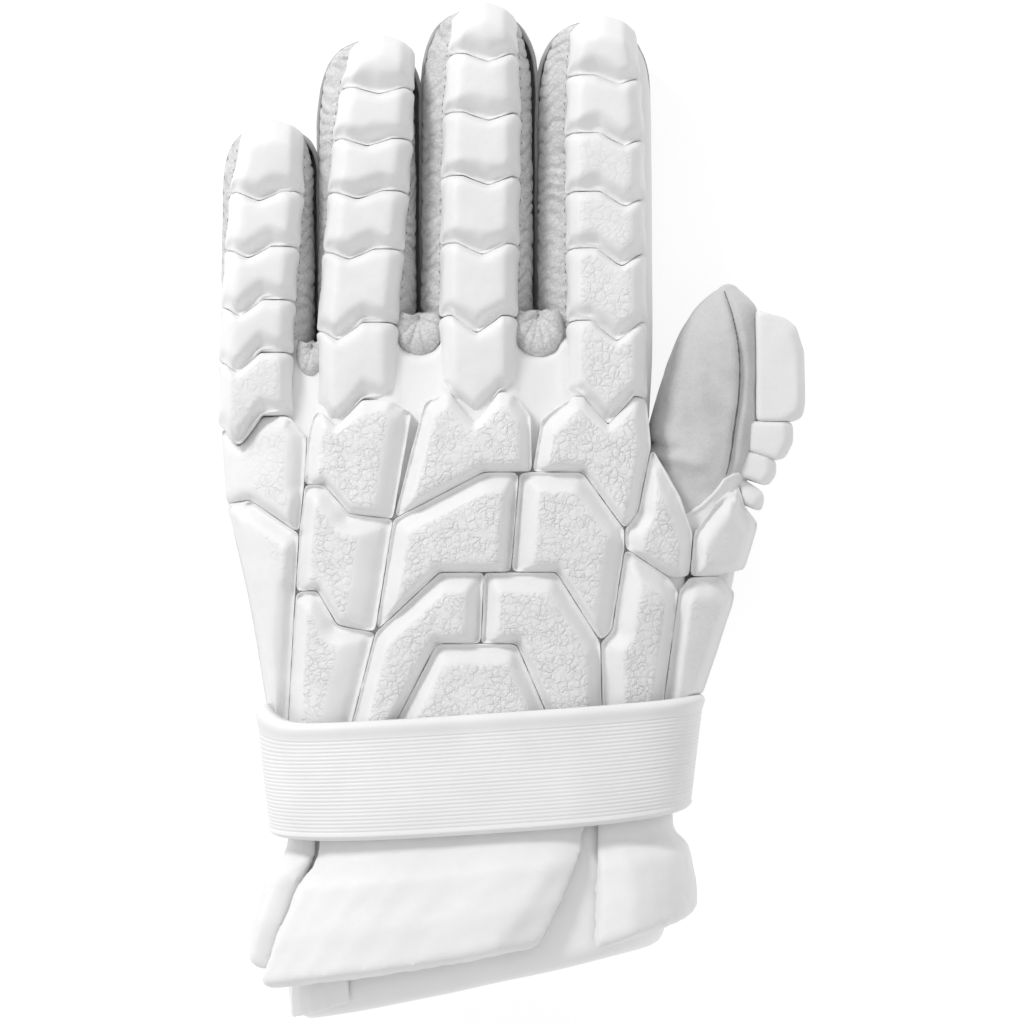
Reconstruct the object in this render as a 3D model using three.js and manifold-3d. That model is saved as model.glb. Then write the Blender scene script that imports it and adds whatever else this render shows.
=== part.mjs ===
// A field player's lacrosse glove for the left hand, lying palm down.
// Millimetres. +X points to the thumb side, +Y to the fingertips, +Z out of the back of the hand.
// The origin is on the flat of the palm, where the glove rests.
//
// Across the hand, a share u runs from -0.5 at the little-finger edge to 0.5 at the index-finger edge.
// Along the hand, a share v runs from 0 at the wrist strap's front edge to 1 at the finger crotches.
import * as THREE from "three";
import Module from "manifold-3d";
import { mergeVertices } from "three/addons/utils/BufferGeometryUtils.js";

const wasm = await Module();
wasm.setup();

// Sizes of the hand and fingers
const HAND_LENGTH = 120; // strap's front edge to the crotches
const PALM_CENTRE = 0.45; // the origin's place along the hand
const HAND_HEIGHT = 58; // back pads' top at the wrist, over the table
const PAD_THICKNESS = 12.5; // foam on the back of the hand
const FINGER_PAD_THICKNESS = 10;
const PAD_EDGE_HEIGHT = 17; // where the foam's outer surface meets the glove's sides
const PAD_FOOT = 11; // how far down the side pads reach, over the table
const PAD_SEAT = 0.5; // between the pads and the glove under them
const WALL = 1.8; // leather, knit and base cloth
const CLEARANCE = 0.3; // between pieces that touch
const GROOVE = 0.8; // between neighbouring pads at their foot
const FINGER_GAP = 0.7; // between neighbouring finger sleeves
const FINGER_HEIGHT = 28; // a finger sleeve at its root
const FINGER_RISE = 7; // a finger root's underside, over the table
const TIP_RISE = 2; // a fingertip's underside, over the table
const SEAM_HEIGHT = 0.42; // the side seam, as a share of the sleeve's or the hand's height
const CHAMFER = 2.6; // width of the slope round each pad's top
const CHAMFER_DROP = 3.2; // height of that slope
const TIP_CAP_INSET = 0.16; // how far a tip pad's front corners are drawn in, as a share of its half-width

// Sizes of the thumb
const THUMB_LENGTH = 102; // from inside the hand to the tip
const THUMB_WIDTH = 34.5;
const THUMB_HEIGHT = 35;
const THUMB_LIFT = 1.5; // the thumb's underside, over the table
const THUMB_PAD_FOOT = 6; // the thumb pads' underside, over the table
const THUMB_PAD_TOP = 32;

// Sizes of the strap and cuff
const STRAP_WIDTH = 36;
const STRAP_THICKNESS = 4;
const STRAP_SPAN = 146; // outside, from side to side at its front edge
const STRAP_TAPER = 9; // how much closer its sides stand at its back edge
const STRAP_SKEW = 9.5; // how much further forward it lies on the thumb side
const STRAP_BOW = 3.5; // how far its back edge sags towards the cuff
const CUFF_LENGTH = 84; // on the little-finger side, from its front end under the strap
const CUFF_SKEW = 25; // how much shorter the cuff is on the thumb side
const CUFF_WIDTH = 118;
const CUFF_HEIGHT = 52; // at its front end
const CUFF_THICKNESS = 7;
const CUFF_UNDERSIDE = 5; // at its front end, over the table
const BINDING_THICKNESS = 1.6; // the edge binding at the cuff's little-finger corner
const FLAP_THICKNESS = 9;
const FLAP_ROOT = 3; // the flaps' thickness under the strap
const FACET_SAG = 0.45; // the gap that covers the flat facets between curved pieces
const FLAP_SETBACK = 17; // where the flaps start under the strap, behind its front edge

// Fingers from the little finger to the index finger. width and length are in millimetres; padWidth, padShift and
// padLean are shares of the width, the last one for how far the pad leans over towards the thumb. Each groove has its place along the finger from the crotch, and the depth of its
// V notch, as shares of the length, and the notch's side shift as a share of the pad's half-width.
const FINGERS = [
  {
    name: "little", width: 30.5, length: 74, padWidth: 0.8, padShift: -0.085, padLean: 0.17, sleeveRoot: -0.1,
    grooves: [
      { along: 0.703, notch: 0.039, shift: -0.19 },
      { along: 0.459, notch: 0.048, shift: -0.38 },
      { along: 0.223, notch: 0.066, shift: -0.5 },
      { along: -0.009, notch: 0.083, shift: -0.5 },
      { along: -0.288, notch: 0.118, shift: -0.46 },
    ],
  },
  {
    name: "ring", width: 33, length: 102, padWidth: 0.8, padShift: -0.03, padLean: 0.24, sleeveRoot: -0.02,
    grooves: [
      { along: 0.844, notch: 0.02, shift: 0.07 },
      { along: 0.679, notch: 0.022, shift: -0.12 },
      { along: 0.511, notch: 0.024, shift: -0.26 },
      { along: 0.324, notch: 0.03, shift: -0.36 },
      { along: 0.089, notch: 0.051, shift: -0.5 },
      { along: -0.159, notch: 0.073, shift: -0.5 },
    ],
  },
  {
    name: "middle", width: 37.3, length: 112.8, padWidth: 0.69, padShift: 0.01, padLean: 0.05, sleeveRoot: 0.0,
    grooves: [
      { along: 0.862, notch: 0.022, shift: 0.14 },
      { along: 0.69, notch: 0.022, shift: 0.17 },
      { along: 0.506, notch: 0.025, shift: 0.19 },
      { along: 0.31, notch: 0.03, shift: 0.07 },
      { along: 0.101, notch: 0.046, shift: -0.04 },
      { along: -0.121, notch: 0.08, shift: -0.1 },
    ],
  },
  {
    name: "index", width: 36.3, length: 108.3, padWidth: 0.72, padShift: 0.1, padLean: -0.03, sleeveRoot: 0.0,
    grooves: [
      { along: 0.832, notch: 0.027, shift: 0.4 },
      { along: 0.656, notch: 0.036, shift: 0.5 },
      { along: 0.479, notch: 0.042, shift: 0.5 },
      { along: 0.308, notch: 0.05, shift: 0.39 },
      { along: 0.09, notch: 0.057, shift: 0.25 },
      { along: -0.138, notch: 0.075, shift: 0.03 },
    ],
  },
];

// How a finger runs from root to tip, as shares of its length, its width, its height and its rise from FINGER_RISE
// to TIP_RISE. The last row is the tip itself.
const FINGER_SECTIONS = [
  { along: -0.2, width: 0.94, height: 1.02, rise: 0.0 },
  { along: 0.0, width: 1.0, height: 1.0, rise: 0.1 },
  { along: 0.3, width: 1.0, height: 0.95, rise: 0.35 },
  { along: 0.6, width: 0.99, height: 0.91, rise: 0.65 },
  { along: 0.82, width: 0.95, height: 0.85, rise: 0.85 },
  { along: 0.93, width: 0.78, height: 0.72, rise: 1.1 },
  { along: 0.985, width: 0.46, height: 0.42, rise: 2.2 },
];

// The glove under its pads: sides as shares u, top as a share of HAND_HEIGHT less PAD_THICKNESS, and the
// underside's height as a share of STRAP_THICKNESS.
const HAND_SECTIONS = [
  { v: -0.11, left: -0.335, right: 0.53, top: 1.0, under: 1.3 },
  { v: 0.07, left: -0.345, right: 0.57, top: 1.0, under: 1.25 },
  { v: 0.16, left: -0.355, right: 0.6, top: 1.0, under: 0 },
  { v: 0.35, left: -0.4, right: 0.66, top: 0.98, under: 0 },
  { v: 0.55, left: -0.44, right: 0.63, top: 0.94, under: 0 },
  { v: 0.75, left: -0.46, right: 0.48, top: 0.88, under: 0 },
  { v: 0.93, left: -0.465, right: 0.455, top: 0.8, under: 0 },
  { v: 1.02, left: -0.455, right: 0.45, top: 0.72, under: 1.3 },
];

// The foam's outer surface over the hand: sides as shares u, and its top as a share of HAND_HEIGHT.
const FOAM_SECTIONS = [
  { v: -0.05, left: -0.41, right: 0.64, top: 1.0 },
  { v: 0.3, left: -0.46, right: 0.74, top: 0.99 },
  { v: 0.6, left: -0.515, right: 0.79, top: 0.96 },
  { v: 0.8, left: -0.525, right: 0.62, top: 0.92 },
  { v: 1.05, left: -0.525, right: 0.56, top: 0.85 },
];

// The corners that the plates on the back of the hand share, as [u, v].
const CORNERS = {
  a: [-0.495, 0.584], b: [-0.435, 0.595], d: [-0.318, 0.503], q: [-0.327, 0.346],
  f: [-0.348, -0.07], g: [-0.378, -0.07], h: [-0.425, 0.297],
  i: [-0.306, 0.635], j: [-0.262, 0.638], k: [-0.201, 0.557], l: [-0.098, 0.543],
  m: [-0.14, 0.238], n: [-0.229, 0.257], o: [-0.276, 0.351], t: [-0.208, -0.07],
  u1: [0.112, 0.67], u2: [0.194, 0.67], u3: [0.224, 0.67], u4: [0.341, 0.67], u5: [0.439, 0.514],
  w1: [0.175, 0.4], w2: [0.009, 0.4], w3: [0.28, 0.4], w4: [0.112, 0.4],
  x1: [0.439, 0.465], x2: [0.409, 0.243], x3: [0.383, 0.211], x4: [0.388, -0.07],
  z1: [0.105, 0.208], z2: [0.002, 0.208], z3: [-0.122, -0.07], z4: [0.187, 0.208], z5: [0.291, -0.07],
  i1: [0.502, 0.741], i2: [0.568, 0.608], i3: [0.6, 0.503], i4: [0.591, 0.386], i5: [0.542, 0.386],
  i6: [0.47, 0.562], j2: [0.565, 0.346], j3: [0.517, -0.07], k3: [0.657, 0.389],
  k4: [0.699, 0.346], k5: [0.696, 0.314], k6: [0.585, -0.07],
  l2: [0.654, 0.586], l3: [0.706, 0.654], l4: [0.722, 0.578], l5: [0.757, 0.53], l6: [0.724, 0.405],
  // Corners of the knuckle pads beside their fingers' last grooves
  r1: [-0.3, 0.76], r2: [-0.055, 0.835], m1: [-0.025, 0.87], m2: [0.222, 0.82], n1: [0.245, 0.81],
};

// Plates on the back of the hand, each with its corners in order. A knuckle pad starts at its finger's last groove.
const PLATES = [
  { name: "little_knuckle_pad", finger: "little", corners: "r1 i d b a" },
  { name: "ring_knuckle_pad", finger: "ring", corners: "r2 l k j i r1" },
  { name: "middle_knuckle_pad", finger: "middle", corners: "m2 u3 u1 l m1" },
  { name: "index_knuckle_pad", finger: "index", corners: "i1 i6 u5 u4 u3 n1" },
  { name: "back_plate_upper_ulnar", corners: "l u1 u2 w1 w2 m" },
  { name: "back_plate_upper_radial", corners: "u2 u4 u5 x1 x2 x3 w3 w1" },
  { name: "back_plate_middle_ulnar", corners: "m w2 w4 z1 z2 z3 t" },
  { name: "back_plate_middle_radial", corners: "w4 w3 x3 x4 z5 z4 z1" },
  { name: "back_plate_wrist", corners: "z2 z4 z5 z3" },
  { name: "ulnar_plate_long", corners: "a b d q f g h" },
  { name: "ulnar_plate_upper", corners: "i j k l m n o q d" },
  { name: "ulnar_plate_lower", corners: "q o n m t f" },
  { name: "radial_plate_upper", corners: "i1 i2 i3 i4 i5 x1 u5 i6" },
  { name: "radial_plate_lower", corners: "x1 i5 j2 j3 x4 x3 x2" },
  { name: "thumb_plate_lower", corners: "j2 i4 k3 k4 k5 k6 j3" },
  { name: "thumb_saddle_pad", corners: "i3 l2 l3 l4 l5 l6 k3 i4" },
];

// The thumb under its pads, from inside the hand to the tip: along as a share of THUMB_LENGTH, the left and right
// edges as shares of THUMB_WIDTH from the index side, the height as a share of THUMB_HEIGHT.
const THUMB_SECTIONS = [
  { along: 0.0, left: 0.12, right: 0.78, height: 0.9 },
  { along: 0.19, left: -0.02, right: 0.86, height: 1.0 },
  { along: 0.38, left: -0.02, right: 0.9, height: 1.0 },
  { along: 0.51, left: 0.0, right: 1.0, height: 1.0 },
  { along: 0.64, left: 0.09, right: 1.02, height: 0.97 },
  { along: 0.8, left: 0.25, right: 1.02, height: 0.88 },
  { along: 0.92, left: 0.46, right: 0.98, height: 0.66 },
  { along: 0.99, left: 0.66, right: 0.86, height: 0.26 },
];

// Foam blocks down the thumb's side, tip first. Each corner is [reach, along]: reach as a share of THUMB_WIDTH from
// the index side, along as a share of THUMB_LENGTH.
const THUMB_PADS = [
  {
    name: "thumb_tip_pad",
    corners: [[0.97, 0.928], [1.266, 0.903], [1.379, 0.874], [1.463, 0.795], [1.473, 0.636], [1.454, 0.588], [1.379, 0.573], [0.97, 0.571]],
  },
  { name: "thumb_pad_2", corners: [[0.94, 0.571], [1.355, 0.569], [1.36, 0.5055], [1.285, 0.453], [1.196, 0.448], [0.923, 0.477]] },
  { name: "thumb_pad_3", corners: [[0.923, 0.477], [1.196, 0.448], [1.2, 0.401], [1.125, 0.366], [0.824, 0.4]] },
  { name: "thumb_pad_4", corners: [[0.824, 0.4], [1.054, 0.347], [1.087, 0.331], [1.069, 0.283], [0.881, 0.3085]] },
];

// The cuff from its front end under the strap to its rear end: the place along its length, the width and the top as
// shares of CUFF_WIDTH and CUFF_HEIGHT, the underside as a share of CUFF_UNDERSIDE, the wall as a share of
// CUFF_THICKNESS, and how far its padded outside is drawn in as a share of the same.
const CUFF_SECTIONS = [
  { along: 0, width: 0.98, top: 0.98, under: 1.0, wall: 0.45, drawn: 0.2 },
  { along: 0.06, width: 1.0, top: 1.0, under: 1.0, wall: 0.6, drawn: 0 },
  { along: 0.3, width: 1.0, top: 1.02, under: 1.0, wall: 1.0, drawn: 0 },
  { along: 0.6, width: 1.01, top: 1.1, under: 0.7, wall: 1.0, drawn: 0 },
  { along: 0.9, width: 1.02, top: 1.17, under: 0.4, wall: 1.0, drawn: 0 },
  { along: 0.98, width: 1.01, top: 1.17, under: 0.45, wall: 0.7, drawn: 0.16 },
  { along: 1, width: 1.0, top: 1.16, under: 0.5, wall: 0.3, drawn: 0.42 },
];

// Flaps over the cuff. Angles in degrees run from the thumb side over the back, first where a flap leaves the strap
// and then at its free end. reach is where the free end lies along the cuff, at the two angles in turn.
const FLAPS = [
  { name: "cuff_flap_thumb", front: [-14, 58], free: [-12, 61], reach: [0.86, 0.94], stand: 1 },
  { name: "cuff_flap_back", front: [60.5, 141], free: [79, 163], reach: [0.87, 0.86], stand: 2 },
  { name: "cuff_flap_ulnar", front: [144, 200], free: [166, 202], reach: [0.79, 0.72], stand: 5 },
];

// How a flap runs from under the strap to its free end: the share of the way, its thickness as a share of
// FLAP_THICKNESS, how far it stands off the cuff as a share of its stand, and how far its side edges have turned
// from their front to their free angles.
const FLAP_SECTIONS = [
  { way: 0, thick: 0.33, off: 0, turn: 0 },
  { way: 0.4, thick: 0.33, off: 0, turn: 0.1 },
  { way: 0.52, thick: 0.85, off: 0.3, turn: 0.3 },
  { way: 0.76, thick: 1.0, off: 0.7, turn: 0.66 },
  { way: 0.96, thick: 1.0, off: 1, turn: 0.96 },
  { way: 1, thick: 0.45, off: 1.4, turn: 1 },
];

const WHITE_FOAM = { color: 0xf0f0f0, roughness: 0.6 };
const WHITE_CLOTH = { color: 0xededed, roughness: 0.8 };
const GREY_KNIT = { color: 0xd0d0d0, roughness: 0.95 };
const GREY_LEATHER = { color: 0xc0c0c0, roughness: 0.85 };
const STRAP_BAND = { color: 0xf2f2f2, roughness: 0.55 };

const handWidth = FINGERS.reduce((sum, finger) => sum + finger.width, 0) + FINGER_GAP * (FINGERS.length - 1);
const glove = new THREE.Group();

const planX = (u) => u * handWidth;
const planY = (v) => (v - PALM_CENTRE) * HAND_LENGTH;
const crotchY = planY(1);
const smooth = (t) => t * t * (3 - 2 * t);

// A row of a table of sections, blended at a place along its key.
function between(rows, key, place) {
  const last = rows.length - 1;
  const step = rows[last][key] > rows[0][key] ? 1 : -1;
  let n = 0;
  while (n < last - 1 && (rows[n + 1][key] - place) * step < 0) n++;
  const share = THREE.MathUtils.clamp((place - rows[n][key]) / (rows[n + 1][key] - rows[n][key]), 0, 1);
  const made = {};
  for (const column of Object.keys(rows[n])) {
    made[column] = THREE.MathUtils.lerp(rows[n][column], rows[n + 1][column], share);
  }
  return made;
}

// A solid from rings of equal length, closed at both ends: by a fan round each end ring's middle or, for rings made of
// an outer row and then an inner row back, by strips between the rows.
function loft(rings, ends = "fan") {
  const count = rings[0].length;
  const points = rings.flat();
  const faces = [];
  for (let r = 0; r < rings.length - 1; r++) {
    for (let n = 0; n < count; n++) {
      const next = (n + 1) % count;
      const [p, q] = [r * count + n, r * count + next];
      faces.push(p, q, q + count, p, q + count, p + count);
    }
  }
  for (const ring of [0, rings.length - 1]) {
    const turn = (p, q, r) => faces.push(...(ring === 0 ? [p, r, q] : [p, q, r]));
    const at = (n) => ring * count + (n % count);
    if (ends === "fan") {
      const middle = points.length;
      const centre = new THREE.Vector3();
      rings[ring].forEach((point) => centre.addScaledVector(point, 1 / count));
      points.push(centre);
      for (let n = 0; n < count; n++) turn(middle, at(n), at(n + 1));
      continue;
    }
    for (let n = 0; n < count / 2 - 1; n++) {
      turn(at(n), at(n + 1), at(count - 2 - n));
      turn(at(n), at(count - 2 - n), at(count - 1 - n));
    }
  }
  return solidOf(points, faces);
}

// A manifold solid, turned to face outwards, from points and triangles.
function solidOf(points, faces) {
  const geometry = new THREE.BufferGeometry().setFromPoints(points);
  geometry.setIndex(faces);
  const merged = mergeVertices(geometry, 1e-4);
  const vertProperties = merged.attributes.position.array;
  const triVerts = new Uint32Array(merged.index.array);
  const solid = new wasm.Manifold(new wasm.Mesh({ numProp: 3, vertProperties, triVerts }));
  if (solid.volume() > 0) return solid;
  for (let n = 0; n < triVerts.length; n += 3) [triVerts[n + 1], triVerts[n + 2]] = [triVerts[n + 2], triVerts[n + 1]];
  return new wasm.Manifold(new wasm.Mesh({ numProp: 3, vertProperties, triVerts }));
}

// Adds a named mesh, keeping the largest body of its solid.
function place(name, solid, look) {
  const bodies = solid.decompose().sort((p, q) => q.volume() - p.volume());
  const mesh = bodies[0].getMesh();
  const geometry = new THREE.BufferGeometry();
  geometry.setAttribute("position", new THREE.BufferAttribute(Float32Array.from(mesh.vertProperties), 3));
  geometry.setIndex(new THREE.BufferAttribute(Uint32Array.from(mesh.triVerts), 1));
  geometry.computeVertexNormals();
  const made = new THREE.Mesh(geometry, new THREE.MeshStandardMaterial({ metalness: 0, ...look }));
  made.name = name;
  glove.add(made);
}

// A closed ring of points round a super-ellipse in the XZ plane, flattened at a floor height.
function roundSection({ count, centreX, centreZ, halfX, halfZ, power, y, floor = -Infinity }) {
  return Array.from({ length: count }, (_, n) => {
    const angle = ((n + 0.5) / count) * 2 * Math.PI;
    const [c, s] = [Math.cos(angle), Math.sin(angle)];
    const x = centreX + halfX * Math.sign(c) * Math.abs(c) ** (2 / power);
    const z = centreZ + halfZ * Math.sign(s) * Math.abs(s) ** (2 / power);
    return new THREE.Vector3(x, y, Math.max(z, floor));
  });
}

// -1 for a table's first row, 1 for its last and 0 between.
const endSide = (n, rows) => (n === 0 ? -1 : n === rows.length - 1 ? 1 : 0);

// The hand's solid under its pads, grown by a distance on every side.
function handSolid(grow) {
  const HAND_POINTS = 24;
  const rings = HAND_SECTIONS.map((row, n) => {
    const low = STRAP_THICKNESS * row.under;
    const high = (HAND_HEIGHT - PAD_THICKNESS) * row.top;
    const sag = row.under === 0 ? PAD_FOOT * 0.35 : 0; // rounds the edges of the flat palm
    return roundSection({
      count: HAND_POINTS,
      centreX: planX((row.left + row.right) / 2),
      centreZ: (low + high - sag) / 2,
      halfX: planX((row.right - row.left) / 2) + grow,
      halfZ: (high - low + sag) / 2 + grow,
      power: 2.7,
      y: planY(row.v) + endSide(n, HAND_SECTIONS) * grow,
      floor: low - grow,
    });
  });
  return loft(rings);
}

// A finger sleeve's section at a share along it.
function fingerAt(finger, along) {
  const row = between(FINGER_SECTIONS, "along", along);
  const low = THREE.MathUtils.lerp(FINGER_RISE, TIP_RISE, row.rise) + (row.rise > 1 ? FINGER_RISE * (row.rise - 1) * 1.6 : 0);
  const high = low + FINGER_HEIGHT * row.height;
  return { low, high, halfX: (finger.width * row.width) / 2, y: crotchY + along * finger.length };
}

function fingerSolid(finger, grow) {
  const rings = FINGER_SECTIONS.map(({ along }, n) => {
    const { low, high, halfX, y } = fingerAt(finger, along);
    return roundSection({
      count: 14,
      centreX: finger.centreX,
      centreZ: (low + high) / 2,
      halfX: Math.max(halfX + grow, 1),
      halfZ: Math.max((high - low) / 2 + grow, 1),
      power: 2.5,
      y: y + endSide(n, FINGER_SECTIONS) * grow,
    });
  });
  return loft(rings);
}

// The thumb runs beside the index finger from thumbRoot.
const thumbLeft = planX(0.5);
const thumbRootY = planY(0.324);
const thumbX = (share) => thumbLeft + share * THUMB_WIDTH;
const thumbY = (along) => thumbRootY + along * THUMB_LENGTH;

function thumbSolid(grow) {
  const rings = THUMB_SECTIONS.map((row, n) =>
    roundSection({
      count: 14,
      centreX: thumbX((row.left + row.right) / 2),
      centreZ: THUMB_LIFT + THUMB_HEIGHT / 2,
      halfX: Math.max(((row.right - row.left) * THUMB_WIDTH) / 2 + grow, 1),
      halfZ: Math.max((THUMB_HEIGHT * row.height) / 2 + grow, 1),
      power: 2.3,
      y: thumbY(row.along) + endSide(n, THUMB_SECTIONS) * grow,
    }),
  );
  return loft(rings);
}

// Lays the fingers side by side across the hand.
let fingerEdge = -handWidth / 2;
for (const finger of FINGERS) {
  finger.centreX = fingerEdge + finger.width / 2;
  finger.padCentreX = finger.centreX + finger.padShift * finger.width;
  finger.padHalf = (finger.padWidth * finger.width) / 2;
  fingerEdge += finger.width + FINGER_GAP;
}

const gloveForm = (grow) =>
  [...FINGERS.map((finger) => fingerSolid(finger, grow)), thumbSolid(grow)].reduce((sum, part) => sum.add(part), handSolid(grow));

// An upright block over a convex outline of [x, y] pairs, between two heights.
function block(outline, low, high) {
  return loft([low, high].map((z) => outline.map(([x, y]) => new THREE.Vector3(x, y, z))));
}

const FAR = 400; // beyond the glove on every side
const above = (z) => block([[-FAR, -FAR], [FAR, -FAR], [FAR, FAR], [-FAR, FAR]], z, FAR);

// The glove's cloth, knit and leather, cut at its seams.
const outer = gloveForm(0);
const sockInside = gloveForm(-WALL);
const padSeat = gloveForm(PAD_SEAT);
const openEnd = block([[-FAR, -FAR], [FAR, -FAR], [FAR, planY(HAND_SECTIONS[0].v) + WALL], [-FAR, planY(HAND_SECTIONS[0].v) + WALL]], -FAR, FAR);
const wristBore = loft(
  [planY(HAND_SECTIONS[0].v) - WALL, planY(HAND_SECTIONS[0].v) + 2 * WALL].map((y) => {
    const row = HAND_SECTIONS[0];
    const low = STRAP_THICKNESS * row.under + WALL;
    const high = (HAND_HEIGHT - PAD_THICKNESS) * row.top - WALL;
    return roundSection({
      count: 24, centreX: planX((row.left + row.right) / 2), centreZ: (low + high) / 2,
      halfX: planX((row.right - row.left) / 2) - WALL, halfZ: (high - low) / 2, power: 2.7, y, floor: low,
    });
  }),
);
const sock = outer.subtract(sockInside).subtract(wristBore).subtract(openEnd);

const seamZ = FINGER_RISE + FINGER_HEIGHT * SEAM_HEIGHT - (FINGER_RISE - TIP_RISE) / 2;
const upper = above(seamZ + CLEARANCE / 2);
const thumbEdge = [
  [thumbX(-0.045), FAR], [thumbX(-0.045), planY(0.73)], [thumbX(0.34), planY(0.56)], [thumbX(0.8), planY(0.54)],
  [FAR, planY(0.54)], [FAR, FAR],
];
const shrunk = (edge, by) => edge.map(([x, y]) => [Math.abs(x) === FAR ? x : x + by, Math.abs(y) === FAR ? y : y + by]);
const thumbRegion = (by) => {
  const [p0, p1, p2, p3, p4, p5] = shrunk(thumbEdge, by);
  return block([p0, p1, [FAR, p1[1]], p5], -FAR, FAR).add(block([p1, p2, p3, p4, [FAR, p1[1]]], -FAR, FAR));
};
const withoutThumb = sock.subtract(thumbRegion(0));
const thumbSock = sock.intersect(thumbRegion(CLEARANCE)).subtract(indexSide());


// The space that the index finger's sleeve and its pads take, kept clear of the thumb.
function indexSide() {
  const index = FINGERS[FINGERS.length - 1];
  const right = index.centreX + index.width / 2 + CLEARANCE;
  return block([[index.centreX, planY(0.8)], [right, planY(0.8)], [right, FAR], [index.centreX, FAR]], -FAR, FAR);
}

// The space of a finger's skin in front of its root, grown by a distance.
function sleeveSpace(finger, grow) {
  const half = finger.width / 2 + (FINGER_GAP - CLEARANCE) / 2 + grow;
  const left = finger === FINGERS[0] ? -FAR : finger.centreX - half;
  const right = finger === FINGERS[FINGERS.length - 1] ? FAR : finger.centreX + half;
  const root = crotchY + finger.sleeveRoot * finger.length - grow;
  return block([[left, root], [right, root], [right, FAR], [left, FAR]], -FAR, FAR);
}

const lowerSock = withoutThumb.subtract(above(seamZ - CLEARANCE / 2));
const upperSock = withoutThumb.intersect(upper);
const withoutFingers = (skin) => FINGERS.reduce((rest, finger) => rest.subtract(sleeveSpace(finger, CLEARANCE)), skin);
place("palm_leather", withoutFingers(lowerSock), GREY_LEATHER);
place("back_base", withoutFingers(upperSock), WHITE_CLOTH);
for (const finger of FINGERS) {
  place(`${finger.name}_finger_palm`, lowerSock.intersect(sleeveSpace(finger, 0)), GREY_LEATHER);
  place(`${finger.name}_sleeve`, upperSock.intersect(sleeveSpace(finger, 0)), GREY_KNIT);
}
place("thumb_leather", thumbSock, GREY_LEATHER);

// The foam's outer height over a place on the back of the hand.
function foamTop(x, y) {
  const row = between(FOAM_SECTIONS, "v", y / HAND_LENGTH + PALM_CENTRE);
  const middle = planX(0.02);
  const share = x < middle ? (middle - x) / (middle - planX(row.left)) : (x - middle) / (planX(row.right) - middle);
  const power = 2.5;
  const fall = (1 - Math.min(Math.abs(share), 1) ** power) ** (1 / power);
  return PAD_EDGE_HEIGHT + (HAND_HEIGHT * row.top - PAD_EDGE_HEIGHT) * fall;
}

// An outline of [x, y] pairs with every edge moved inwards by its own distance.
function inset(outline, distanceOf) {
  const area = outline.reduce((sum, [x, y], n) => {
    const [nextX, nextY] = outline[(n + 1) % outline.length];
    return sum + x * nextY - nextX * y;
  }, 0);
  const side = Math.sign(area);
  const lines = outline.map(([x, y], n) => {
    const [nextX, nextY] = outline[(n + 1) % outline.length];
    const long = Math.hypot(nextX - x, nextY - y);
    const [dx, dy] = [(nextX - x) / long, (nextY - y) / long];
    const normal = [-dy * side, dx * side];
    const by = distanceOf(normal);
    return { x: x + normal[0] * by, y: y + normal[1] * by, dx, dy };
  });
  return lines.map((line, n) => {
    const before = lines[(n + lines.length - 1) % lines.length];
    const cross = before.dx * line.dy - before.dy * line.dx;
    if (Math.abs(cross) < 0.05) return [line.x, line.y];
    const along = ((line.x - before.x) * line.dy - (line.y - before.y) * line.dx) / cross;
    return [before.x + along * before.dx, before.y + along * before.dy];
  });
}

// Splits an outline's long edges, so that a pad's rim follows the curve under it.
function split(outline, longest) {
  return outline.flatMap(([x, y], n) => {
    const [nextX, nextY] = outline[(n + 1) % outline.length];
    const pieces = Math.max(1, Math.round(Math.hypot(nextX - x, nextY - y) / longest));
    return Array.from({ length: pieces }, (_, k) => [x + ((nextX - x) * k) / pieces, y + ((nextY - y) * k) / pieces]);
  });
}

// Triangles over a flat outline that keep every one of its points, cutting off the best-shaped corner each time.
// All turn the same way as the outline.
function ears(outline) {
  const cross = (p, q, r) => (q[0] - p[0]) * (r[1] - p[1]) - (q[1] - p[1]) * (r[0] - p[0]);
  const turn = Math.sign(outline.reduce((sum, pair, n) => sum + cross([0, 0], pair, outline[(n + 1) % outline.length]), 0));
  const left = outline.map((_, n) => n);
  const made = [];
  while (left.length > 3) {
    let best = { shape: -Infinity, n: 0 };
    for (let n = 0; n < left.length; n++) {
      const [p, q, r] = [left[(n + left.length - 1) % left.length], left[n], left[(n + 1) % left.length]].map((k) => outline[k]);
      const size = cross(p, q, r) * turn;
      if (size < 1e-6) continue;
      const inside = left.some((k) => {
        const point = outline[k];
        if (point === p || point === q || point === r) return false;
        return [[p, q], [q, r], [r, p]].every(([from, to]) => cross(from, to, point) * turn > -1e-6);
      });
      const sides = [[p, q], [q, r], [r, p]].map(([from, to]) => Math.hypot(to[0] - from[0], to[1] - from[1]));
      const shape = inside ? -Infinity : size / Math.max(...sides) ** 2;
      if (shape > best.shape) best = { shape, n };
    }
    const n = best.n;
    made.push([left[(n + left.length - 1) % left.length], left[n], left[(n + 1) % left.length]]);
    left.splice(n, 1);
  }
  return [...made, left];
}

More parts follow.
